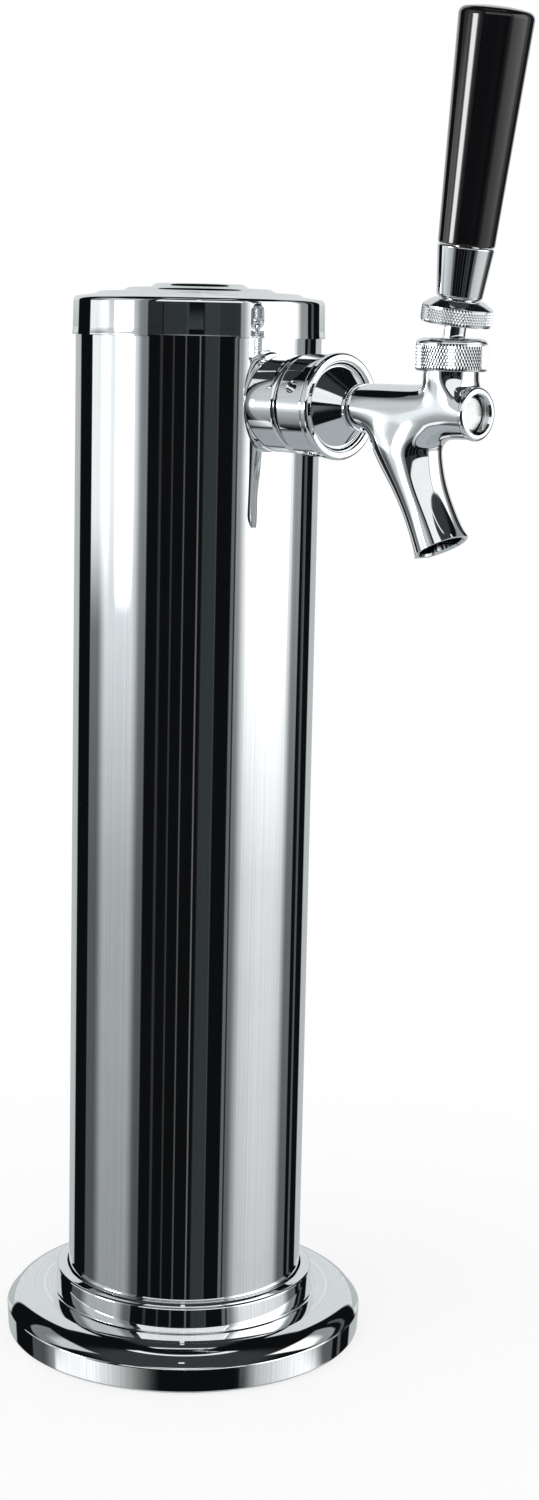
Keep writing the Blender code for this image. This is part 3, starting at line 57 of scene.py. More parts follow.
# Frames of the turned pieces: each one's own Z is the axis that it was turned on
UPRIGHT = Matrix.Identity(4)
SHANK = Matrix.Translation((0.0, 0.0, FAUCET_HEIGHT)) @ Matrix.Rotation(math.pi / 2, 4, "X")
STALK = Matrix.Translation((0.0, -STALK_PLACE, FAUCET_HEIGHT))
LEVER = Matrix.Translation((0.0, -STALK_PLACE, PIVOT_HEIGHT)) @ Matrix.Rotation(LEVER_LEAN, 4, "X")
SPOUT = SHANK @ Matrix.Translation((0.0, 0.0, SPOUT_ROOT)) @ Matrix.Rotation(math.pi / 2 - SPOUT_TILT, 4, "X")

scene = bpy.context.scene
scene.view_settings.view_transform = "Standard"


# Shop tools


def deselect():
    bpy.ops.object.select_all(action="DESELECT")


def take(piece):
    """Makes a piece the only one in hand."""
    deselect()
    piece.select_set(True)
    bpy.context.view_layer.objects.active = piece


def edit(kind="VERT"):
    bpy.ops.object.mode_set(mode="EDIT")
    bpy.ops.mesh.select_mode(type=kind)


def done():
    bpy.ops.object.mode_set(mode="OBJECT")


def pick(piece, kind, wanted):
    """Selects the faces, edges or vertices of a piece that answer to a test, and stays in edit mode."""
    edit(kind)
    bpy.ops.mesh.select_all(action="DESELECT")
    done()
    mesh = piece.data
    group = {"FACE": mesh.polygons, "EDGE": mesh.edges, "VERT": mesh.vertices}[kind]
    for item in group:
        item.select = bool(wanted(item))
    edit(kind)


def apply_modifier(piece, modifier):
    take(piece)
    bpy.ops.object.modifier_apply(modifier=modifier.name)


def weld(piece, distance=0.004 * MM):
    """Joins what lies in the same place, and turns all faces outwards."""
    take(piece)
    edit()
    bpy.ops.mesh.select_all(action="SELECT")
    bpy.ops.mesh.remove_doubles(threshold=distance)
    bpy.ops.mesh.normals_make_consistent(inside=False)
    done()


def settle(piece, place, crisp=32.0):
    """Puts a finished piece in its place for good, with soft curves and crisp edges."""
    take(piece)
    piece.matrix_world = place
    bpy.ops.object.transform_apply(location=True, rotation=True, scale=True)
    bpy.ops.object.shade_smooth_by_angle(angle=math.radians(crisp))
    return piece


def rounded(points, radius, count=3, closed=True):
    """A section whose corners are eased, as a lathe tool or a buffing wheel leaves them."""
    eased = []
    last = len(points) - 1
    for index, point in enumerate(points):
        if not closed and index in (0, last) or point[0] <= 0.0:
            eased.append(point)
            continue
        here = Vector(point)
        before = Vector(points[index - 1]) - here
        after = Vector(points[(index + 1) % len(points)]) - here
        bend = math.pi - before.angle(after)
        if bend < math.radians(18.0):
            eased.append(point)
            continue
        reach = min(radius, 0.45 * before.length, 0.45 * after.length)
        start = here + before.normalized() * reach
        end = here + after.normalized() * reach
        for step in range(count + 1):
            share = step / count
            spot = start.lerp(here, share).lerp(here.lerp(end, share), share)
            eased.append((spot.x, spot.y))
    return eased


def arc(centre, radius, start, end, count):
    """Points on a round stretch of a section, between two angles in degrees."""
    angles = [math.radians(start + (end - start) * step / count) for step in range(count + 1)]
    return [(centre[0] + radius * math.cos(a), centre[1] + radius * math.sin(a)) for a in angles]


def held(route, closed):
    """Adds a point just inside each end of a long stretch that meets an eased corner, so that it stays true."""
    kept = []
    count = len(route)
    for index, point in enumerate(route):
        kept.append(point)
        if not closed and index == count - 1:
            break
        here = Vector(point)
        beyond = Vector(route[(index + 1) % count])
        stretch = (beyond - here).length
        if stretch < 0.5 * MM:
            continue
        before = (here - Vector(route[index - 1])).length if closed or index > 0 else stretch
        behind = (Vector(route[(index + 2) % count]) - beyond).length if closed or index < count - 2 else stretch
        if before < 0.4 * stretch:
            kept.append(tuple(here.lerp(beyond, 0.06 * MM / stretch)))
        if behind < 0.4 * stretch:
            kept.append(tuple(beyond.lerp(here, 0.06 * MM / stretch)))
    return kept


def turned(name, section, steps, closed=True, hold=True):
    """A turned piece: one point is drawn out into the section, which is then spun round its Z."""
    deselect()
    bpy.ops.mesh.primitive_plane_add(size=MM)
    piece = bpy.context.object
    piece.name = name
    piece.data.name = name
    edit()
    bpy.ops.mesh.select_all(action="SELECT")
    bpy.ops.mesh.merge(type="CENTER")
    route = held(list(section), closed) if hold else list(section)
    if closed:
        route.append(route[0])
    across, up = route[0]
    bpy.ops.transform.translate(value=(across, 0.0, up))
    for next_across, next_up in route[1:]:
        step = {"value": (next_across - across, 0.0, next_up - up)}
        bpy.ops.mesh.extrude_vertices_move(TRANSFORM_OT_translate=step)
        across, up = next_across, next_up
    bpy.ops.mesh.select_all(action="SELECT")
    bpy.ops.mesh.remove_doubles(threshold=0.001 * MM)
    done()
    screw = piece.modifiers.new("turn", "SCREW")
    screw.axis = "Z"
    screw.angle = math.tau
    screw.steps = steps
    screw.render_steps = steps
    screw.use_merge_vertices = True
    screw.merge_threshold = 0.001 * MM
    apply_modifier(piece, screw)
    weld(piece)
    return piece


def moved(piece, place):
    """Puts a cutter where it cuts."""
    take(piece)
    piece.matrix_world = place
    bpy.ops.object.transform_apply(location=True, rotation=True, scale=True)
    return piece


def combine(piece, helper, operation):
    """Cuts a helper out of a piece, keeps what they share, or joins the two."""
    boolean = piece.modifiers.new("combine", "BOOLEAN")
    boolean.operation = operation
    boolean.solver = "EXACT"
    boolean.object = helper
    apply_modifier(piece, boolean)
    bpy.data.objects.remove(helper, do_unlink=True)


def plate(name, outline, width):
    """A flat plate across the middle plane, from an outline of depth and height."""
    deselect()
    bpy.ops.mesh.primitive_plane_add(size=MM)
    piece = bpy.context.object
    piece.name = name
    edit()
    bpy.ops.mesh.select_all(action="SELECT")
    bpy.ops.mesh.merge(type="CENTER")
    out, up = outline[0]
    bpy.ops.transform.translate(value=(-width / 2, up, out))
    for next_out, next_up in outline[1:]:
        step = {"value": (0.0, next_up - up, next_out - out)}
        bpy.ops.mesh.extrude_vertices_move(TRANSFORM_OT_translate=step)
        out, up = next_out, next_up
    bpy.ops.mesh.select_all(action="SELECT")
    bpy.ops.mesh.edge_face_add()
    bpy.ops.mesh.extrude_region_move(TRANSFORM_OT_translate={"value": (width, 0.0, 0.0)})
    done()
    weld(piece)
    return piece


def rod_section(radius, low, high):
    return [(0.0, high), (radius, high), (radius, low), (0.0, low)]


def knurl(piece, radius, low, high, depth):
    """Rolls a diamond pattern into a band: its squares become pyramids that stand on their corners."""
    near = 0.02 * MM

    def in_band(face):
        centre = face.center
        return low < centre.z < high and centre.xy.length > radius - depth

    def is_grid_line(edge):
        ends = [piece.data.vertices[index].co for index in edge.vertices]
        middle = (ends[0] + ends[1]) / 2
        if not low + near < middle.z < high - near or middle.xy.length < radius - depth:
            return False
        level = abs(ends[0].z - ends[1].z) < near
        plumb = (ends[0].xy - ends[1].xy).length < near
        return level or plumb

    take(piece)
    pick(piece, "FACE", in_band)
    bpy.ops.mesh.poke()
    done()
    pick(piece, "EDGE", is_grid_line)
    bpy.ops.mesh.dissolve_edges(use_verts=False)
    done()
    pick(piece, "FACE", lambda face: in_band(face) and len(face.vertices) == 4)
    bpy.ops.mesh.poke(offset=depth)
    done()


def fit(piece, body, node, material):
    """Gives a finished piece its finish, and fits it to the body in place of its node."""
    piece.data.materials.clear()
    piece.data.materials.append(material)
    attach(piece, body)
    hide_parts(node)


# Finishes


def group_socket(group, name, kind, value=None, outlet=False):
    direction = "OUTPUT" if outlet else "INPUT"
    socket = group.interface.new_socket(name=name, in_out=direction, socket_type=kind)
    if value is not None:
        socket.default_value = value
    return socket


def noise(tree, vector, scale, detail=2.0, roughness=0.5, distortion=0.0):
    node = tree.nodes.new("ShaderNodeTexNoise")
    node.inputs["Scale"].default_value = scale
    node.inputs["Detail"].default_value = detail
    node.inputs["Roughness"].default_value = roughness
    node.inputs["Distortion"].default_value = distortion
    tree.links.new(vector, node.inputs["Vector"])
    return node.outputs["Fac"]


def feed(tree, socket, value):
    """Links a socket to another, or sets it to a number."""
    if isinstance(value, (int, float)):
        socket.default_value = value
    else:
        tree.links.new(value, socket)


def calc(tree, operation, first, second=0.0, third=0.0):
    node = tree.nodes.new("ShaderNodeMath")
    node.operation = operation
    for socket, value in zip(node.inputs, (first, second, third)):
        feed(tree, socket, value)
    return node.outputs[0]


def remap(tree, value, low, high, to_low=0.0, to_high=1.0, smooth=False):
    node = tree.nodes.new("ShaderNodeMapRange")
    node.interpolation_type = "SMOOTHSTEP" if smooth else "LINEAR"
    feed(tree, node.inputs["Value"], value)
    node.inputs["From Min"].default_value = low
    node.inputs["From Max"].default_value = high
    node.inputs["To Min"].default_value = to_low
    node.inputs["To Max"].default_value = to_high
    return node.outputs["Result"]


def blend_colours(tree, factor, first, second):
    node = tree.nodes.new("ShaderNodeMix")
    node.data_type = "RGBA"
    feed(tree, node.inputs["Factor"], factor)
    for socket, value in ((node.inputs[6], first), (node.inputs[7], second)):
        if isinstance(value, tuple):
            socket.default_value = value
        else:
            tree.links.new(value, socket)
    return node.outputs[2]


def make_polish_group():
    """Buffed metal: faint lines left by the wheel, a slow ripple, and a breath of haze here and there."""
    group = bpy.data.node_groups.new("buffed_surface", "ShaderNodeTree")
    group_socket(group, "Lines", "NodeSocketVector")
    group_socket(group, "Place", "NodeSocketVector")
    group_socket(group, "Bright Colour", "NodeSocketColor")
    group_socket(group, "Hazy Colour", "NodeSocketColor")
    group_socket(group, "Smoothness", "NodeSocketFloat")
    group_socket(group, "Haze", "NodeSocketFloat")
    group_socket(group, "Line Depth", "NodeSocketFloat")
    group_socket(group, "Ripple Depth", "NodeSocketFloat")
    group_socket(group, "Colour", "NodeSocketColor", outlet=True)
    group_socket(group, "Roughness", "NodeSocketFloat", outlet=True)
    group_socket(group, "Height", "NodeSocketFloat", outlet=True)
    inlet = group.nodes.new("NodeGroupInput").outputs
    outlet = group.nodes.new("NodeGroupOutput").inputs
    lines = noise(group, inlet["Lines"], 1.0, 3.0, 0.65)
    ripple = noise(group, inlet["Place"], 26.0, 1.0, 0.4)
    smudge = noise(group, inlet["Place"], 48.0, 5.0, 0.6, 0.6)
    cloud = remap(group, smudge, 0.45, 0.75, smooth=True)
    streak = remap(group, lines, 0.35, 0.75)
    rough = calc(group, "MULTIPLY_ADD", cloud, inlet["Haze"], inlet["Smoothness"])
    rough = calc(group, "MULTIPLY_ADD", streak, calc(group, "MULTIPLY", inlet["Haze"], 0.4), rough)
    height = calc(group, "MULTIPLY", lines, inlet["Line Depth"])
    height = calc(group, "MULTIPLY_ADD", ripple, inlet["Ripple Depth"], height)
    veil = calc(group, "MULTIPLY_ADD", streak, 0.35, calc(group, "MULTIPLY", cloud, 0.5))
    group.links.new(blend_colours(group, veil, inlet["Bright Colour"], inlet["Hazy Colour"]), outlet["Colour"])
    group.links.new(rough, outlet["Roughness"])
    group.links.new(height, outlet["Height"])
    return group


def make_moulded_group():
    """Moulded stuff: a pebbled skin, mottled colour and duller patches where it has been handled."""
    group = bpy.data.node_groups.new("moulded_surface", "ShaderNodeTree")
    group_socket(group, "Place", "NodeSocketVector")
    group_socket(group, "Main Colour", "NodeSocketColor")
    group_socket(group, "Dusty Colour", "NodeSocketColor")
    group_socket(group, "Smoothness", "NodeSocketFloat")
    group_socket(group, "Dullness", "NodeSocketFloat")
    group_socket(group, "Grain Size", "NodeSocketFloat")
    group_socket(group, "Grain Depth", "NodeSocketFloat")
    group_socket(group, "Colour", "NodeSocketColor", outlet=True)
    group_socket(group, "Roughness", "NodeSocketFloat", outlet=True)
    group_socket(group, "Height", "NodeSocketFloat", outlet=True)
    inlet = group.nodes.new("NodeGroupInput").outputs
    outlet = group.nodes.new("NodeGroupOutput").inputs
    grain = group.nodes.new("ShaderNodeTexVoronoi")
    grain.feature = "SMOOTH_F1"
    group.links.new(inlet["Place"], grain.inputs["Vector"])
    group.links.new(inlet["Grain Size"], grain.inputs["Scale"])
    mottle = noise(group, inlet["Place"], 90.0, 4.0, 0.6)
    patch = remap(group, noise(group, inlet["Place"], 32.0, 2.0, 0.5), 0.4, 0.7, smooth=True)
    dust = remap(group, mottle, 0.5, 0.8, smooth=True)
    rough = calc(group, "MULTIPLY_ADD", patch, inlet["Dullness"], inlet["Smoothness"])
    height = calc(group, "MULTIPLY", grain.outputs["Distance"], inlet["Grain Depth"])
    group.links.new(blend_colours(group, dust, inlet["Main Colour"], inlet["Dusty Colour"]), outlet["Colour"])
    group.links.new(rough, outlet["Roughness"])
    group.links.new(height, outlet["Height"])
    return group


BUFFED = make_polish_group()
MOULDED = make_moulded_group()


def new_material(name):
    material = bpy.data.materials.new(name)
    material.use_nodes = True
    tree = material.node_tree
    shader = tree.nodes["Principled BSDF"]
    place = tree.nodes.new("ShaderNodeTexCoord").outputs["Object"]
    return material, tree, shader, place


def finish_with(tree, shader, surface):
    tree.links.new(surface.outputs["Colour"], shader.inputs["Base Color"])
    tree.links.new(surface.outputs["Roughness"], shader.inputs["Roughness"])
    bump = tree.nodes.new("ShaderNodeBump")
    bump.inputs["Strength"].default_value = 1.0
    bump.inputs["Distance"].default_value = 1.0
    tree.links.new(surface.outputs["Height"], bump.inputs["Height"])
    tree.links.new(bump.outputs["Normal"], shader.inputs["Normal"])


def buffed_metal(name, bright, hazy, smoothness, haze, line_depth, ripple_depth, stretch, turn=0.0):
    """A metal whose buffing or turning lines run across the long side of the stretch."""
    material, tree, shader, place = new_material(name)
    shader.inputs["Metallic"].default_value = 1.0
    mapping = tree.nodes.new("ShaderNodeMapping")
    mapping.inputs["Rotation"].default_value = (turn, 0.0, 0.0)
    mapping.inputs["Scale"].default_value = stretch
    tree.links.new(place, mapping.inputs["Vector"])
    surface = tree.nodes.new("ShaderNodeGroup")
    surface.node_tree = BUFFED
    tree.links.new(mapping.outputs["Vector"], surface.inputs["Lines"])
    tree.links.new(place, surface.inputs["Place"])
    surface.inputs["Bright Colour"].default_value = (*bright, 1.0)
    surface.inputs["Hazy Colour"].default_value = (*hazy, 1.0)
    surface.inputs["Smoothness"].default_value = smoothness
    surface.inputs["Haze"].default_value = haze
    surface.inputs["Line Depth"].default_value = line_depth
    surface.inputs["Ripple Depth"].default_value = ripple_depth
    finish_with(tree, shader, surface)
    return material


def moulded(name, main, dusty, smoothness, dullness, grain_size, grain_depth, coat=0.0):
    material, tree, shader, place = new_material(name)
    shader.inputs["Metallic"].default_value = 0.0
    shader.inputs["Coat Weight"].default_value = coat
    shader.inputs["Coat Roughness"].default_value = 0.03
    shader.inputs["Specular IOR Level"].default_value = 0.5 - 0.4 * coat
    surface = tree.nodes.new("ShaderNodeGroup")
    surface.node_tree = MOULDED
    tree.links.new(place, surface.inputs["Place"])
    surface.inputs["Main Colour"].default_value = (*main, 1.0)
    surface.inputs["Dusty Colour"].default_value = (*dusty, 1.0)
    surface.inputs["Smoothness"].default_value = smoothness
    surface.inputs["Dullness"].default_value = dullness
    surface.inputs["Grain Size"].default_value = grain_size
    surface.inputs["Grain Depth"].default_value = grain_depth
    finish_with(tree, shader, surface)
    return material


CHROME_BRIGHT = (0.86, 0.875, 0.885)
CHROME_HAZY = (0.78, 0.80, 0.82)
ROUND_Z = (70.0, 70.0, 5200.0)
ROUND_Y = (70.0, 5200.0, 70.0)
EVEN = (900.0, 900.0, 900.0)

column_chrome = buffed_metal(
    "column_chrome", CHROME_BRIGHT, CHROME_HAZY, 0.022, 0.020, 0.00004 * MM, 0.0016 * MM, ROUND_Z
)
base_chrome = buffed_metal(
    "base_chrome", CHROME_BRIGHT, CHROME_HAZY, 0.024, 0.022, 0.00005 * MM, 0.0012 * MM, (2600.0, 2600.0, 2600.0)
)
cap_chrome = buffed_metal(
    "cap_chrome", CHROME_BRIGHT, CHROME_HAZY, 0.022, 0.020, 0.00005 * MM, 0.0014 * MM, ROUND_Z
)
shank_chrome = buffed_metal(
    "shank_chrome", CHROME_BRIGHT, CHROME_HAZY, 0.024, 0.024, 0.00005 * MM, 0.0008 * MM, ROUND_Y
)
cast_chrome = buffed_metal(
    "cast_chrome", CHROME_BRIGHT, CHROME_HAZY, 0.035, 0.030, 0.0003 * MM, 0.0030 * MM, EVEN
)
knurl_chrome = buffed_metal(
    "knurl_chrome", CHROME_BRIGHT, CHROME_HAZY, 0.100, 0.040, 0.00008 * MM, 0.0005 * MM, ROUND_Z
)
lever_chrome = buffed_metal(
    "lever_chrome", CHROME_BRIGHT, CHROME_HAZY, 0.024, 0.024, 0.00005 * MM, 0.0006 * MM, ROUND_Z, -LEVER_LEAN
)
satin_steel = buffed_metal(
    "satin_steel", (0.90, 0.905, 0.91), (0.80, 0.805, 0.81), 0.42, 0.10, 0.0001 * MM, 0.0004 * MM, EVEN
)
plate_steel = buffed_metal(
    "plate_steel", (0.58, 0.585, 0.59), (0.44, 0.445, 0.45), 0.30, 0.20, 0.0012 * MM, 0.002 * MM, EVEN
)
turned_brass = buffed_metal(
    "turned_brass", (0.75, 0.58, 0.28), (0.55, 0.40, 0.19), 0.22, 0.22, 0.0010 * MM, 0.001 * MM, ROUND_Y
)
upright_brass = buffed_metal(
    "upright_brass", (0.75, 0.58, 0.28), (0.55, 0.40, 0.19), 0.22, 0.22, 0.0010 * MM, 0.001 * MM, ROUND_Z
)
black_gloss = moulded(
    "black_gloss", (0.005, 0.005, 0.006), (0.009, 0.009, 0.010), 0.10, 0.03, 700.0, 0.0003 * MM, 1.0
)
black_rubber = moulded(
    "black_rubber", (0.030, 0.030, 0.031), (0.075, 0.074, 0.072), 0.62, 0.15, 2400.0, 0.02 * MM
)
grey_foam = moulded(
    "grey_foam", (0.085, 0.086, 0.092), (0.15, 0.15, 0.155), 0.86, 0.10, 900.0, 0.25 * MM
)
white_nylon = moulded(
    "white_nylon", (0.84, 0.83, 0.79), (0.72, 0.70, 0.65), 0.40, 0.15, 1800.0, 0.008 * MM
)
milky_vinyl = moulded(
    "milky_vinyl", (0.80, 0.83, 0.82), (0.66, 0.70, 0.69), 0.18, 0.12, 300.0, 0.03 * MM, 0.4
)


# Column, base and cap


def make_column():
    section = [
        (COLUMN_BORE, COLUMN_FOOT),
        (COLUMN_BORE, COLUMN_MOUTH),
        (COLUMN_RADIUS, COLUMN_MOUTH),
        (COLUMN_RADIUS, COLUMN_FOOT),
    ]
    column = turned("polished_column", rounded(section, 0.4 * MM), 160)
    drill = turned("hole_tool", rod_section(SHANK_HOLE, 20.0 * MM, 50.0 * MM), 64, closed=False)
    combine(column, moved(drill, SHANK), "DIFFERENCE")
    return settle(column, UPRIGHT)


def make_base_cover():
    """The spun cover: rolled lip, leaning neck, full crown and an upright rim."""
    lip = [
        (38.4 * MM, 21.3 * MM),
        (38.6 * MM, 21.75 * MM),
        (39.0 * MM, 21.9 * MM),
        (40.5 * MM, 21.5 * MM),
        *arc((41.0 * MM, 20.7 * MM), 0.85 * MM, 74.0, 8.0, 6),
        (42.5 * MM, 14.6 * MM),
    ]
    foot_round = arc((42.95 * MM, 13.72 * MM), 0.42 * MM, 188.0, 262.0, 5)
    crown = [
        (43.3 * MM, 13.32 * MM),
        (44.5 * MM, 13.52 * MM),
        (46.0 * MM, 13.70 * MM),
        (47.5 * MM, 13.80 * MM),
        (49.0 * MM, 13.84 * MM),
        (50.5 * MM, 13.78 * MM),
        (51.7 * MM, 13.60 * MM),
        (52.8 * MM, 13.28 * MM),
        (53.8 * MM, 12.84 * MM),
        (54.7 * MM, 12.26 * MM),
        (55.5 * MM, 11.58 * MM),
        (56.2 * MM, 10.80 * MM),
        (56.85 * MM, 9.92 * MM),
        (57.4 * MM, 9.08 * MM),
    ]
    edge = arc((57.35 * MM, 8.0 * MM), 0.85 * MM, 38.0, 0.0, 4)
    foot = [
        (BASE_RADIUS - 0.38 * MM, 0.95 * MM),
        *arc((57.25 * MM, 0.9 * MM), 0.55 * MM, -10.0, -90.0, 5),
        (56.8 * MM, 0.35 * MM),
    ]
    inside = [
        (56.8 * MM, 8.0 * MM),
        (56.2 * MM, 9.0 * MM),
        (54.0 * MM, 11.1 * MM),
        (51.0 * MM, 12.4 * MM),
        (48.0 * MM, 12.8 * MM),
        (43.0 * MM, 12.2 * MM),
        (41.2 * MM, 12.6 * MM),
        (40.2 * MM, 14.2 * MM),
        (40.2 * MM, 18.2 * MM),
        (38.4 * MM, 18.8 * MM),
    ]
    cover = turned("spun_cover", [*lip, *foot_round, *crown, *edge, *foot, *inside], 160)
    return settle(cover, UPRIGHT, 40.0)


def make_cap():
    """The pressed cap: skirt with a turned-out edge, round shoulder and a dome of low, soft steps."""
    inner = 38.4 * MM
    outer = 39.2 * MM
    middle = [(0.0, CAP_TOP + 4.4 * MM)]
    steps = ((13.6, 4.2), (15.0, 3.1), (22.0, 2.85), (23.6, 1.85), (30.6, 1.55), (32.4, 0.7))
    for radius, height in steps:
        middle.append((radius * MM, CAP_TOP + height * MM))
    top = rounded([*middle, (36.4 * MM, CAP_TOP + 0.15 * MM), (37.2 * MM, CAP_TOP)], 0.6 * MM, 5, closed=False)
    shoulder = arc((37.4 * MM, CAP_TOP - 1.5 * MM), 1.5 * MM, 90.0, 0.0, 8)
    skirt = [
        (38.95 * MM, CAP_TOP - 4.0 * MM),
        (39.05 * MM, CAP_TOP - 9.5 * MM),
        (outer, CAP_TOP - 11.3 * MM),
        (outer - 0.05 * MM, CAP_TOP - 11.75 * MM),
        (inner + 0.3 * MM, CAP_TOP - 11.8 * MM),
        (inner, CAP_TOP - 11.5 * MM),
        (inner, CAP_TOP - 1.7 * MM),
        (inner - 0.8 * MM, CAP_TOP - 0.8 * MM),
        (0.0, CAP_TOP - 0.8 * MM),
    ]
    cap = turned("pressed_cap", [*top, *shoulder, *skirt], 160, closed=False)
    return settle(cap, UPRIGHT, 36.0)


# Shank pieces


def make_collar_piece():
    """The collar between column and faucet, cut to the round of the column at its back."""
    section = [
        (SHANK_HOLE, 19.0 * MM),
        (SHANK_HOLE, 46.3 * MM),
        (14.1 * MM, 46.3 * MM),
        (14.7 * MM, 45.7 * MM),
        (14.7 * MM, 19.0 * MM),
    ]
    collar = turned("column_collar", rounded(section, 0.25 * MM), 128)
    saddle = turned("saddle_tool", rod_section(COLUMN_RADIUS + 0.3 * MM, 280.0 * MM, 328.0 * MM), 160, closed=False)
    place = SHANK.inverted()
    combine(collar, moved(saddle, place), "DIFFERENCE")
    return settle(collar, SHANK)


def make_shank_ring():
    section = [(SHANK_HOLE, 46.6 * MM), (SHANK_HOLE, 47.8 * MM), (13.2 * MM, 47.8 * MM), (13.2 * MM, 46.6 * MM)]
    ring = turned("shank_ring", rounded(section, 0.2 * MM), 96)
    return settle(ring, SHANK)


def make_coupling_nut():
    """The coupling nut: plain barrel, turned groove, bold front ring and four spanner holes."""
    section = [
        (11.4 * MM, 48.1 * MM),
        (11.4 * MM, 50.1 * MM),
        (12.9 * MM, 50.1 * MM),
        (12.9 * MM, 60.5 * MM),
        (13.5 * MM, 61.2 * MM),
        (15.15 * MM, 61.2 * MM),
        (15.75 * MM, 60.6 * MM),
        (15.75 * MM, 58.8 * MM),
        (14.7 * MM, 58.8 * MM),
        (14.7 * MM, 58.0 * MM),
        (15.2 * MM, 58.0 * MM),
        (15.2 * MM, 48.7 * MM),
        (14.6 * MM, 48.1 * MM),
    ]
    nut = turned("turned_nut", rounded(section, 0.3 * MM), 128)
    for quarter in range(4):
        turn = Matrix.Rotation(math.radians(90.0 * quarter - 22.0), 4, "Z")
        reach = Matrix.Translation((0.0, 0.0, 53.6 * MM)) @ Matrix.Rotation(math.pi / 2, 4, "Y")
        hole = [
            (0.0, 16.4 * MM),
            (2.2 * MM, 16.4 * MM),
            (2.2 * MM, 15.3 * MM),
            (1.7 * MM, 14.85 * MM),
            (1.7 * MM, 13.4 * MM),
            (0.0, 13.25 * MM),
        ]
        drill = turned("spanner_tool", hole, 32, closed=False)
        combine(nut, moved(drill, turn @ reach), "DIFFERENCE")
    return settle(nut, SHANK)


# Faucet body: an eight-sided cage, pulled out into spout and stalk, then smoothed and bored

SIDES = 8
SIDEWAYS = Vector((1.0, 0.0, 0.0))
SMOOTH_SHARE = (2.0 + math.cos(math.tau / SIDES)) / 3.0


def cage(diameter):
    """The cage's size for a smoothed surface of this diameter in millimetres."""
    return diameter * MM / 2 / SMOOTH_SHARE


def pull_out(piece, centre, across, along):
    """Draws the picked faces out by one ring, and sets the ring's corners on an oval."""
    bpy.ops.mesh.extrude_region_move()
    done()
    corners = [vertex for vertex in piece.data.vertices if vertex.select]
    middle = sum((corner.co for corner in corners), Vector()) / len(corners)

    def bearing(corner):
        offset = corner.co - middle
        return math.atan2(offset.dot(along), offset.dot(across))

    for index, corner in enumerate(sorted(corners, key=bearing)):
        angle = math.tau * (index + 0.5) / SIDES - math.pi
        corner.co = centre + math.cos(angle) * across + math.sin(angle) * along
    piece.data.update()
    edit("FACE")


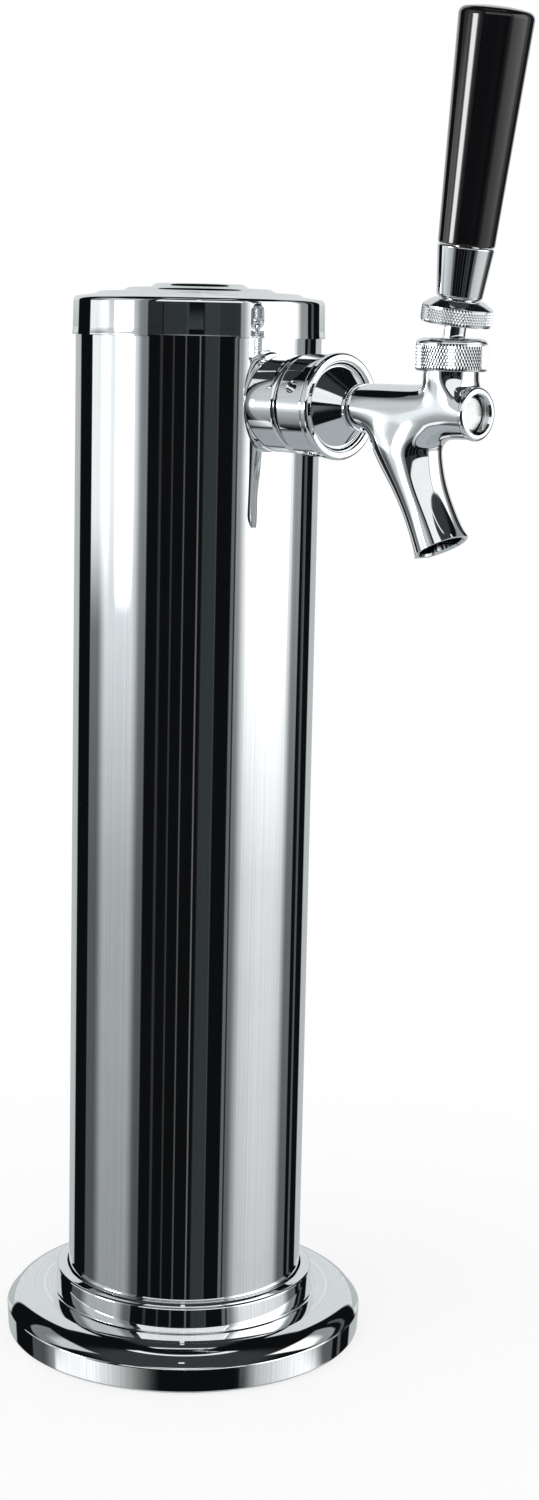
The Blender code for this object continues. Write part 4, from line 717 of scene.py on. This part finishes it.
def make_faucet():
    stations = (
        (65.6, 11.4),
        (66.9, 14.1),
        (75.34, 14.6),
        (98.35, 14.6),
        (110.45, 14.6),
        (112.5, 14.6),
    )
    skew = 3.8 * MM
    start = stations[0][0] * MM
    end = stations[-1][0] * MM
    deselect()
    bpy.ops.mesh.primitive_cylinder_add(
        vertices=SIDES,
        radius=cage(14.6),
        depth=end - start,
        end_fill_type="NGON",
        location=(0.0, 0.0, (start + end) / 2),
    )
    body = bpy.context.object
    body.name = "cast_faucet"
    body.data.name = "cast_faucet"
    bpy.ops.object.transform_apply(location=True, rotation=True, scale=True)
    edit()
    bpy.ops.mesh.select_all(action="SELECT")
    turn = (0.0, 0.0, 0.0)
    bpy.ops.transform.rotate(value=math.pi / SIDES, orient_axis="Z", center_override=turn)
    for place, _ in stations[1:-1]:
        bpy.ops.mesh.select_all(action="SELECT")
        bpy.ops.mesh.bisect(plane_co=(0.0, 0.0, place * MM), plane_no=(0.0, 0.0, 1.0))
    for place, diameter in stations:
        pick(body, "VERT", lambda vertex: abs(vertex.co.z - place * MM) < 0.01 * MM)
        scale = diameter / 14.6
        bpy.ops.transform.resize(value=(scale, scale, 1.0), center_override=(0.0, 0.0, place * MM))
        done()
    for vertex in body.data.vertices:
        if abs(vertex.co.z - stations[3][0] * MM) < 0.01 * MM:
            vertex.co.z -= skew * vertex.co.y / cage(14.6)
    body.data.update()

    def looks(side, low, high):
        def test(face):
            middle = face.center
            on_barrel = len(face.vertices) == 4 and low < middle.z < high and side * middle.y > 0.0
            return on_barrel and side * face.normal.y > 0.34
        return test

    down = Vector((0.0, -math.cos(SPOUT_TILT), math.sin(SPOUT_TILT)))
    root = Vector((0.0, 0.0, SPOUT_ROOT))
    pick(body, "FACE", looks(-1.0, stations[2][0] * MM, stations[3][0] * MM))
    waist = cage(14.4)
    rings = (
        (0.27, 0.15, 1.15, 1.58),
        (0.41, 0.55, 1.08, 1.31),
        (0.58, 1.0, 1.03, 1.03),
        (0.78, 1.0, 1.0, 1.0),
        (1.0, 1.0, 15.6 / 14.4, 15.6 / 14.4),
    )
    for down_share, lean_share, wide, deep in rings:
        lean = SPOUT_TILT * lean_share
        along = Vector((0.0, math.sin(lean), math.cos(lean)))
        centre = root + down * SPOUT_LENGTH * down_share
        pull_out(body, centre, SIDEWAYS * waist * wide, along * waist * deep)
    done()
    pick(body, "FACE", looks(1.0, stations[3][0] * MM, stations[4][0] * MM))
    outwards = Vector((0.0, 0.0, 1.0))
    for height in (9.0, 11.5, 16.0):
        centre = Vector((0.0, height * MM, STALK_PLACE))
        pull_out(body, centre, SIDEWAYS * cage(15.9), outwards * cage(15.9))
    done()

    def is_rim(edge):
        ends = [body.data.vertices[index].co for index in edge.vertices]
        at_stalk = all(co.y > 15.9 * MM for co in ends)
        at_end = all(abs(co.z - start) < 0.01 * MM or abs(co.z - end) < 0.01 * MM for co in ends)
        outlet = root + down * SPOUT_LENGTH
        at_outlet = all(abs((co - outlet).dot(down)) < 0.05 * MM for co in ends)
        return at_stalk or at_end and all(co.y > -10.0 * MM for co in ends) or at_outlet

    pick(body, "EDGE", is_rim)
    bpy.ops.transform.edge_crease(value=1.0)
    done()
    smooth = body.modifiers.new("smooth", "SUBSURF")
    smooth.levels = 4
    smooth.render_levels = 4
    apply_modifier(body, smooth)
    weld(body)
    hub = rounded(
        [
            (0.0, 67.2 * MM),
            (5.6 * MM, 66.9 * MM),
            (12.0 * MM, 60.6 * MM),
            (12.6 * MM, 60.0 * MM),
            (12.6 * MM, 54.8 * MM),
            (12.0 * MM, 54.2 * MM),
            (0.0, 54.2 * MM),
        ],
        0.3 * MM,
        3,
        closed=False,
    )
    combine(body, turned("hub_form", hub, 96, closed=False), "UNION")
    nose = rounded(
        [
            (0.0, 113.1 * MM),
            (7.0 * MM, 113.1 * MM),
            (7.6 * MM, 112.6 * MM),
            (7.6 * MM, 111.6 * MM),
            (7.1 * MM, 111.3 * MM),
            (0.0, 111.3 * MM),
        ],
        0.35 * MM,
        4,
        closed=False,
    )
    combine(body, turned("nose_form", nose, 96, closed=False), "UNION")
    main_bore = [
        (0.0, 114.1 * MM),
        (5.9 * MM, 114.1 * MM),
        (5.9 * MM, 113.0 * MM),
        (5.4 * MM, 112.5 * MM),
        (5.4 * MM, 60.0 * MM),
        (8.0 * MM, 60.0 * MM),
        (8.0 * MM, 53.2 * MM),
        (0.0, 53.2 * MM),
    ]
    combine(body, turned("bore_tool", main_bore, 64, closed=False), "DIFFERENCE")
    spout_bore = [
        (0.0, 44.2 * MM),
        (7.2 * MM, 44.2 * MM),
        (7.2 * MM, 43.3 * MM),
        (6.5 * MM, 42.6 * MM),
        (5.6 * MM, 21.6 * MM),
        (5.6 * MM, 0.0),
        (0.0, 0.0),
    ]
    tool = turned("spout_tool", spout_bore, 64, closed=False)
    combine(body, moved(tool, SHANK.inverted() @ SPOUT), "DIFFERENCE")
    stalk_bore = rod_section(6.2 * MM, 11.5 * MM, 17.0 * MM)
    tool = turned("stalk_tool", stalk_bore, 48, closed=False)
    combine(body, moved(tool, SHANK.inverted() @ STALK), "DIFFERENCE")
    slot = [(2.6, 12.5), (-3.8, 12.5), (-7.2, 5.9), (-8.9, 5.4), (-8.9, 2.7), (2.6, 2.7)]
    slot = [(STALK_PLACE + out * MM, up * MM) for out, up in slot]
    combine(body, plate("slot_tool", slot, 4.4 * MM), "DIFFERENCE")
    return settle(body, SHANK, 38.0)


def make_plunger():
    """The plunger's bright stem and its satin front, which shows inside the nose."""
    section = [
        (0.0, 110.5 * MM),
        (4.5 * MM, 110.5 * MM),
        (5.05 * MM, 109.9 * MM),
        (5.05 * MM, 95.5 * MM),
        (2.4 * MM, 94.9 * MM),
        (2.4 * MM, 63.0 * MM),
        (3.6 * MM, 63.0 * MM),
        (3.6 * MM, 60.0 * MM),
        (1.9 * MM, 60.0 * MM),
        (1.9 * MM, 53.9 * MM),
        (0.0, 53.9 * MM),
    ]
    shaft = turned("plunger_shaft", rounded(section, 0.2 * MM, 3, closed=False), 64, closed=False)
    socket = [(0.0, 6.05 * MM), (3.25 * MM, 6.05 * MM), (3.25 * MM, 5.05 * MM), (2.25 * MM, 4.05 * MM)]
    socket += [(2.25 * MM, -0.4 * MM), (0.0, -0.4 * MM)]
    tool = turned("socket_tool", socket, 32, closed=False)
    place = Matrix.Translation((0.0, 0.0, 100.607 * MM)) @ Matrix.Rotation(-math.pi / 2, 4, "X")
    combine(shaft, moved(tool, place), "DIFFERENCE")
    return settle(shaft, SHANK)


# Lever, bonnet, collar and handle


def make_lever():
    ball = arc((0.0, 0.0), 5.0 * MM, 51.0, -74.9, 16)
    tip = arc((0.0, -14.5 * MM), 1.9 * MM, 46.8, -90.0, 10)
    tip[-1] = (0.0, tip[-1][1])
    section = [
        (0.0, 42.0 * MM),
        (3.9 * MM, 42.0 * MM),
        (4.5 * MM, 41.4 * MM),
        (4.5 * MM, 9.1 * MM),
        (3.15 * MM, 8.5 * MM),
        *ball,
        *tip,
    ]
    return settle(turned("ball_lever", section, 64, closed=False), LEVER)


def make_bonnet():
    """The bonnet on the stalk: knurled skirt, full plain shoulder and a flared mouth for the lever."""
    radius = 10.05 * MM
    low = 12.0 * MM
    high = 19.3 * MM
    rows = 4
    band = [(radius, high - (high - low) * row / rows) for row in range(rows + 1)]
    shoulder = [
        ((10.2 - 2.5 * (1.0 - math.sin(a))) * MM, (19.45 + 1.45 * math.cos(a)) * MM)
        for a in (math.radians(step * 11.25) for step in range(0, 9))
    ]
    section = [
        (6.1 * MM, 20.5 * MM),
        (6.6 * MM, 20.85 * MM),
        *shoulder,
        *band,
        (9.95 * MM, 11.8 * MM),
        (9.6 * MM, 11.7 * MM),
        (8.25 * MM, 11.7 * MM),
        (8.25 * MM, 18.9 * MM),
        (5.05 * MM, 18.9 * MM),
    ]
    bonnet = turned("knurled_bonnet", section, 72, hold=False)
    knurl(bonnet, radius, low, high, 0.27 * MM)
    return settle(bonnet, STALK, 30.0)


def make_lever_collar():
    """The collar under the handle: knurled band and a cone up to the ferrule."""
    radius = 9.9 * MM
    low = 8.8 * MM
    high = 13.2 * MM
    rows = 3
    band = [(radius, high - (high - low) * row / rows) for row in range(rows + 1)]
    section = rounded(
        [(4.8 * MM, 15.3 * MM), (7.2 * MM, 15.3 * MM), (9.75 * MM, 13.6 * MM), (10.0 * MM, 13.35 * MM)],
        0.3 * MM,
        3,
        closed=False,
    )
    section += band
    section += [(9.8 * MM, 8.55 * MM), (9.5 * MM, 8.5 * MM), (4.8 * MM, 8.5 * MM)]
    collar = turned("knurled_collar", section, 72, hold=False)
    knurl(collar, radius, low, high, 0.27 * MM)
    return settle(collar, LEVER, 30.0)


def make_ferrule():
    section = [
        (4.8 * MM, 30.2 * MM),
        (7.8 * MM, 30.2 * MM),
        (8.05 * MM, 29.9 * MM),
        (6.5 * MM, 16.3 * MM),
        (5.9 * MM, 15.6 * MM),
        (4.8 * MM, 15.6 * MM),
    ]
    return settle(turned("tapered_ferrule", rounded(section, 0.3 * MM), 96), LEVER)


def make_handle():
    """The gloss black handle: straight taper, eased top edge and a shallow crown."""
    crown = [(0.0, 94.85 * MM), (4.0 * MM, 94.78 * MM), (7.0 * MM, 94.45 * MM)]
    section = [
        *crown,
        *arc((8.36 * MM, 91.95 * MM), 2.2 * MM, 88.0, 0.0, 10),
        (8.05 * MM, 30.9 * MM),
        (7.75 * MM, 30.5 * MM),
        (6.3 * MM, 30.5 * MM),
        (6.3 * MM, 46.8 * MM),
        (0.0, 46.8 * MM),
    ]
    return settle(turned("black_handle", section, 96, closed=False), LEVER)


fit(make_column(), "tower", "column_tube", column_chrome)
fit(make_base_cover(), "cover", "base_cover", base_chrome)
fit(make_cap(), "cap", "top_cap", cap_chrome)
fit(make_collar_piece(), "tower", "shank_adapter", shank_chrome)
fit(make_shank_ring(), "tower", "shank_flange", shank_chrome)
fit(make_coupling_nut(), "tower", "coupling_nut", shank_chrome)
fit(make_faucet(), "tower", "faucet_body", cast_chrome)
fit(make_plunger(), "plunger", "faucet_shaft", satin_steel)
fit(make_lever(), "lever", "lever", lever_chrome)
fit(make_bonnet(), "tower", "bonnet", knurl_chrome)
fit(make_lever_collar(), "lever", "lever_collar", knurl_chrome)
fit(make_ferrule(), "lever", "handle_ferrule", lever_chrome)
fit(make_handle(), "lever", "tap_handle", black_gloss)

# What stays as it is in the frame gets its finish
for node_name, finish in {
    "base_gasket": black_rubber,
    "mounting_flange": plate_steel,
    "insulation_sleeve": grey_foam,
    "cap_plug": black_rubber,
    "shank_body": turned_brass,
    "saddle_washer": plate_steel,
    "coupling_washer": white_nylon,
    "shank_locknut": turned_brass,
    "tail_washer": black_rubber,
    "tail_nut": turned_brass,
    "tailpiece": turned_brass,
    "beer_line": milky_vinyl,
    "hose_clamp": satin_steel,
    "shaft_seal": black_rubber,
    "shaft_nut": turned_brass,
    "ball_washer": white_nylon,
    "friction_ring": white_nylon,
    "handle_insert": upright_brass,
}.items():
    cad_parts[node_name].material_slots[0].material = finish


# Floor, light and camera

CAMERA_PLACE = Vector((-0.5428, -0.5595, 0.3307))
CAMERA_YAW = math.radians(1.815)
CAMERA_PITCH = math.radians(10.0)
CAMERA_ROLL = math.radians(1.233)
SIDE_TURN = math.radians(44.13)
LENS = 59.43
FLOOR_SIZE = 3.0
SHADOW_NEAR = 0.07
SHADOW_FAR = 0.36
FLOOR_GLOW = 0.72
KEY_WIDTH = 0.9
KEY_POWER = 3.2
KEY_PLACE = Vector((-0.7, 0.1, 1.4))
KEY_AIM = Vector((0.0, -0.03, 0.15))


def make_camera():
    """The photograph's viewpoint: in front and to the left, a little above the faucet."""
    forward = Vector(
        (
            math.sin(CAMERA_YAW) * math.cos(CAMERA_PITCH),
            math.cos(CAMERA_YAW) * math.cos(CAMERA_PITCH),
            -math.sin(CAMERA_PITCH),
        )
    )
    right = Vector((math.cos(CAMERA_YAW), -math.sin(CAMERA_YAW), 0.0))
    up = right.cross(forward)
    lean = Matrix.Rotation(-SIDE_TURN, 3, "Z")
    turned_right = lean @ (right * math.cos(CAMERA_ROLL) + up * math.sin(CAMERA_ROLL))
    turned_up = lean @ (up * math.cos(CAMERA_ROLL) - right * math.sin(CAMERA_ROLL))
    away = lean @ forward
    rows = (turned_right, turned_up, -away)
    data = bpy.data.cameras.new("viewpoint")
    data.sensor_fit = "VERTICAL"
    data.sensor_height = 36.0
    data.lens = LENS
    data.clip_start = 0.01
    camera = bpy.data.objects.new("viewpoint", data)
    camera.matrix_world = Matrix.Translation(CAMERA_PLACE) @ Matrix(rows).transposed().to_4x4()
    scene.collection.objects.link(camera)
    scene.camera = camera


def make_floor():
    """A pale floor that carries the shadow near the tower and fades out far from it."""
    deselect()
    bpy.ops.mesh.primitive_grid_add(x_subdivisions=12, y_subdivisions=12, size=FLOOR_SIZE)
    floor = bpy.context.object
    floor.name = "pale_floor"
    floor.visible_glossy = False
    material, tree, shader, place = new_material("pale_floor")
    tree.nodes.remove(shader)
    paper = tree.nodes.new("ShaderNodeBsdfDiffuse")
    fibre = noise(tree, place, 420.0, 3.0)
    tint = blend_colours(tree, fibre, (0.985, 0.985, 0.985, 1.0), (0.995, 0.995, 0.995, 1.0))
    tree.links.new(tint, paper.inputs["Color"])
    glow = tree.nodes.new("ShaderNodeEmission")
    glow.inputs["Color"].default_value = (1.0, 1.0, 1.0, 1.0)
    lift = tree.nodes.new("ShaderNodeMixShader")
    seen = tree.nodes.new("ShaderNodeLightPath").outputs["Is Camera Ray"]
    tree.links.new(calc(tree, "MULTIPLY", seen, FLOOR_GLOW), lift.inputs[0])
    tree.links.new(paper.outputs[0], lift.inputs[1])
    tree.links.new(glow.outputs[0], lift.inputs[2])
    clear = tree.nodes.new("ShaderNodeBsdfTransparent")
    mix = tree.nodes.new("ShaderNodeMixShader")
    length = tree.nodes.new("ShaderNodeVectorMath")
    length.operation = "LENGTH"
    tree.links.new(place, length.inputs[0])
    fade = remap(tree, length.outputs["Value"], SHADOW_NEAR, SHADOW_FAR, smooth=True)
    tree.links.new(fade, mix.inputs[0])
    tree.links.new(lift.outputs[0], mix.inputs[1])
    tree.links.new(clear.outputs[0], mix.inputs[2])
    tree.links.new(mix.outputs[0], tree.nodes["Material Output"].inputs["Surface"])
    floor.data.materials.append(material)


def make_key_light():
    """One large soft light from above, which gives the shadow its direction."""
    data = bpy.data.lights.new("soft_key", "AREA")
    data.shape = "RECTANGLE"
    data.size = KEY_WIDTH
    data.size_y = KEY_WIDTH
    data.energy = KEY_POWER
    light = bpy.data.objects.new("soft_key", data)
    light.location = KEY_PLACE
    light.rotation_euler = (KEY_AIM - KEY_PLACE).to_track_quat("-Z", "Y").to_euler()
    light.visible_glossy = False
    scene.collection.objects.link(light)


# The studio round the tower, by bearing from the viewer's side (left is negative) and by height.
# Each lamp: bearing from, to, softness of its two edges; height from, to, softness; strength; colour;
# and whether it fades towards the floor
WHITE = (1.0, 1.0, 1.0)
COOL = (0.94, 0.985, 1.0)
MOSS = (0.80, 1.0, 0.97)
DARK_ROOM = (0.0045, 0.0050, 0.0058)
FAR_FLOOR = (0.93, 1.0, 1.03)
EVEN_GREY = (0.84, 0.84, 0.84, 1.0)
PURE_WHITE = (1.0, 1.0, 1.0, 1.0)
LAMPS = (
    ("left_box_core", -98.0, -57.0, (14.0, 10.0), -60.0, 1.0, 3.0, 0.80, COOL, True),
    ("left_box_high", -98.0, -57.0, (14.0, 10.0), 1.0, 37.0, 3.0, 0.44, COOL, True),
    ("left_box_spill", -117.0, -47.0, (1.6, 1.6), -30.0, 37.0, 3.0, 0.24, COOL, True),
    ("left_box_top", -116.5, -91.0, (1.5, 10.0), -6.0, 4.0, 3.0, 0.80, WHITE, True),
    ("left_box_hot", -80.5, -63.5, (6.0, 6.0), -5.5, 5.0, 3.0, 15.0, WHITE, True),
    ("right_box_core", 46.0, 102.0, (12.0, 11.0), -60.0, 37.0, 3.0, 1.05, WHITE, True),
    ("right_box_hot", 52.0, 96.0, (34.0, 24.0), -26.0, 35.0, 3.0, 0.5, WHITE, True),
    ("right_box_spill", 38.0, 117.0, (1.6, 1.6), -30.0, 37.0, 3.0, 0.34, COOL, True),
    ("backdrop_left", -210.0, -143.0, (3.0, 3.0), -34.0, 48.0, 4.0, 0.54, COOL, False),
    ("backdrop_right", 143.0, 210.0, (3.0, 3.0), -34.0, 48.0, 4.0, 0.54, COOL, False),
    ("backdrop_top_left", -210.0, -143.0, (3.0, 3.0), 0.5, 48.0, 2.0, 0.24, WHITE, False),
    ("backdrop_top_right", 143.0, 210.0, (3.0, 3.0), 0.5, 48.0, 2.0, 0.24, WHITE, False),
    ("table_left", -93.0, -36.0, (3.0, 44.0), -37.0, -27.8, 1.2, 0.80, WHITE, False),
    ("table_right", 67.0, 117.0, (66.0, 3.0), -37.0, -27.8, 1.2, 0.80, WHITE, False),
    ("front_bar", -40.0, 40.0, (1.5, 1.5), 9.0, 37.0, 1.5, 1.00, WHITE, False),
    ("front_stem", -3.0, 1.5, (0.6, 0.6), 37.0, 47.5, 1.5, 1.00, WHITE, False),
    ("ceiling", -70.0, 70.0, (30.0, 30.0), 26.0, 76.0, 16.0, 0.040, COOL, False),
    ("ceiling_strip", -75.0, 75.0, (6.0, 6.0), 68.0, 74.0, 1.5, 1.00, WHITE, False),
    ("line_a", -35.5, -33.0, (1.2, 1.2), -27.4, 1.2, 0.8, 0.030, WHITE, False),
    ("line_b", -23.5, -22.0, (0.8, 0.8), -27.4, 1.2, 0.8, 0.035, WHITE, False),
    ("line_c", -12.0, -10.8, (0.8, 0.8), -27.4, 1.2, 0.8, 0.090, WHITE, False),
    ("line_d", 1.0, 2.2, (0.7, 0.7), -27.4, 1.2, 0.8, 0.150, WHITE, False),
    ("panel", 6.0, 19.0, (2.0, 1.0), -27.4, 1.2, 0.8, 0.038, MOSS, False),
    ("line_e", 18.4, 19.4, (0.6, 0.6), -27.4, 1.2, 0.8, 0.030, WHITE, False),
    ("line_f", 33.5, 36.5, (1.2, 1.2), -27.4, 1.2, 0.8, 0.140, WHITE, False),
    ("far_line", 124.0, 128.0, (2.0, 2.0), -40.0, 30.0, 2.0, 0.10, WHITE, False),
    ("wall_a", -46.5, -33.0, (1.0, 1.0), 1.4, 9.0, 0.6, 0.024, COOL, False),
    ("wall_b", -32.0, -11.0, (0.8, 0.8), 1.4, 9.0, 0.6, 0.036, MOSS, False),
    ("wall_c", -11.0, -9.0, (0.8, 0.8), 1.4, 9.0, 0.6, 0.055, MOSS, False),
    ("wall_d", -9.0, 4.0, (0.8, 0.8), 1.4, 2.1, 0.4, 0.050, MOSS, False),
    ("wall_e", 5.0, 19.0, (0.8, 0.8), 1.4, 9.0, 0.6, 0.046, MOSS, False),
    ("wall_f", 19.0, 37.5, (0.8, 0.8), 1.4, 9.0, 0.6, 0.033, MOSS, False),
)


def span(tree, value, low, high, softness):
    """A mask that is white between two numbers, with a soft edge at each."""
    first, last = softness
    rise = remap(tree, value, low - first / 2, low + first / 2, smooth=True)
    fall = remap(tree, value, high - last / 2, high + last / 2, 1.0, 0.0, smooth=True)
    return calc(tree, "MULTIPLY", rise, fall)


def make_studio():
    """White to the camera, an even light on the tower, and lamps and dark cloths in its polish."""
    world = bpy.data.worlds.new("studio")
    scene.world = world
    world.use_nodes = True
    tree = world.node_tree
    direction = tree.nodes.new("ShaderNodeTexCoord").outputs["Generated"]
    towards = (-math.sin(SIDE_TURN), -math.cos(SIDE_TURN), 0.0)
    rightwards = (math.cos(SIDE_TURN), -math.sin(SIDE_TURN), 0.0)

    def along(axis):
        node = tree.nodes.new("ShaderNodeVectorMath")
        node.operation = "DOT_PRODUCT"
        tree.links.new(direction, node.inputs[0])
        node.inputs[1].default_value = axis
        return node.outputs["Value"]

    to_degrees = 180.0 / math.pi
    bearing = calc(tree, "ARCTAN2", along(rightwards), along(towards))
    bearing = calc(tree, "MULTIPLY", bearing, to_degrees)
    height = calc(tree, "ARCSINE", along((0.0, 0.0, 1.0)))
    height = calc(tree, "MULTIPLY", height, to_degrees)

    def vector_step(operation, second_name, first, second):
        """One step of colour arithmetic, on a plain colour or on what another node puts out."""
        node = tree.nodes.new("ShaderNodeVectorMath")
        node.operation = operation
        for name, value in ((0, first), (second_name, second)):
            if isinstance(value, tuple):
                node.inputs[name].default_value = value
            else:
                tree.links.new(value, node.inputs[name])
        return node.outputs[0]

    def scaled(colour, factor):
        return vector_step("SCALE", "Scale", colour, factor)

    def added(first, second):
        return vector_step("ADD", 1, first, second)

    streaks = tree.nodes.new("ShaderNodeTexNoise")
    streaks.noise_dimensions = "1D"
    streaks.inputs["Scale"].default_value = 0.55
    streaks.inputs["Detail"].default_value = 4.0
    streaks.inputs["Roughness"].default_value = 0.7
    tree.links.new(bearing, streaks.inputs["W"])
    uneven = remap(tree, streaks.outputs["Fac"], 0.25, 0.75, 0.84, 1.12)
    near_floor = remap(tree, height, -13.0, -4.0, 0.46, 1.0)
    fading = calc(tree, "MULTIPLY", near_floor, remap(tree, height, -22.0, -13.0, 0.75, 1.0))
    lit = DARK_ROOM
    for _, left, right, edges, low, top, top_soft, strength, colour, fades in LAMPS:
        shape = span(tree, bearing, left, right, edges)
        shape = calc(tree, "MULTIPLY", shape, span(tree, height, low, top, (top_soft, top_soft)))
        shape = calc(tree, "MULTIPLY", shape, strength)
        if fades:
            shape = calc(tree, "MULTIPLY", shape, fading)
        lit = added(lit, scaled(colour, shape))
    lit = scaled(lit, uneven)
    lit = scaled(lit, remap(tree, height, -38.0, -35.0, smooth=True))
    ground = remap(tree, height, -41.0, -37.0, 0.46, 0.0, smooth=True)
    lit = added(lit, scaled(FAR_FLOOR, ground))

    path = tree.nodes.new("ShaderNodeLightPath")
    shown = blend_colours(tree, path.outputs["Is Glossy Ray"], EVEN_GREY, lit)
    shown = blend_colours(tree, path.outputs["Is Camera Ray"], shown, PURE_WHITE)
    background = tree.nodes["Background"]
    tree.links.new(shown, background.inputs["Color"])
    background.inputs["Strength"].default_value = 1.0


make_camera()
make_floor()
make_key_light()
make_studio()
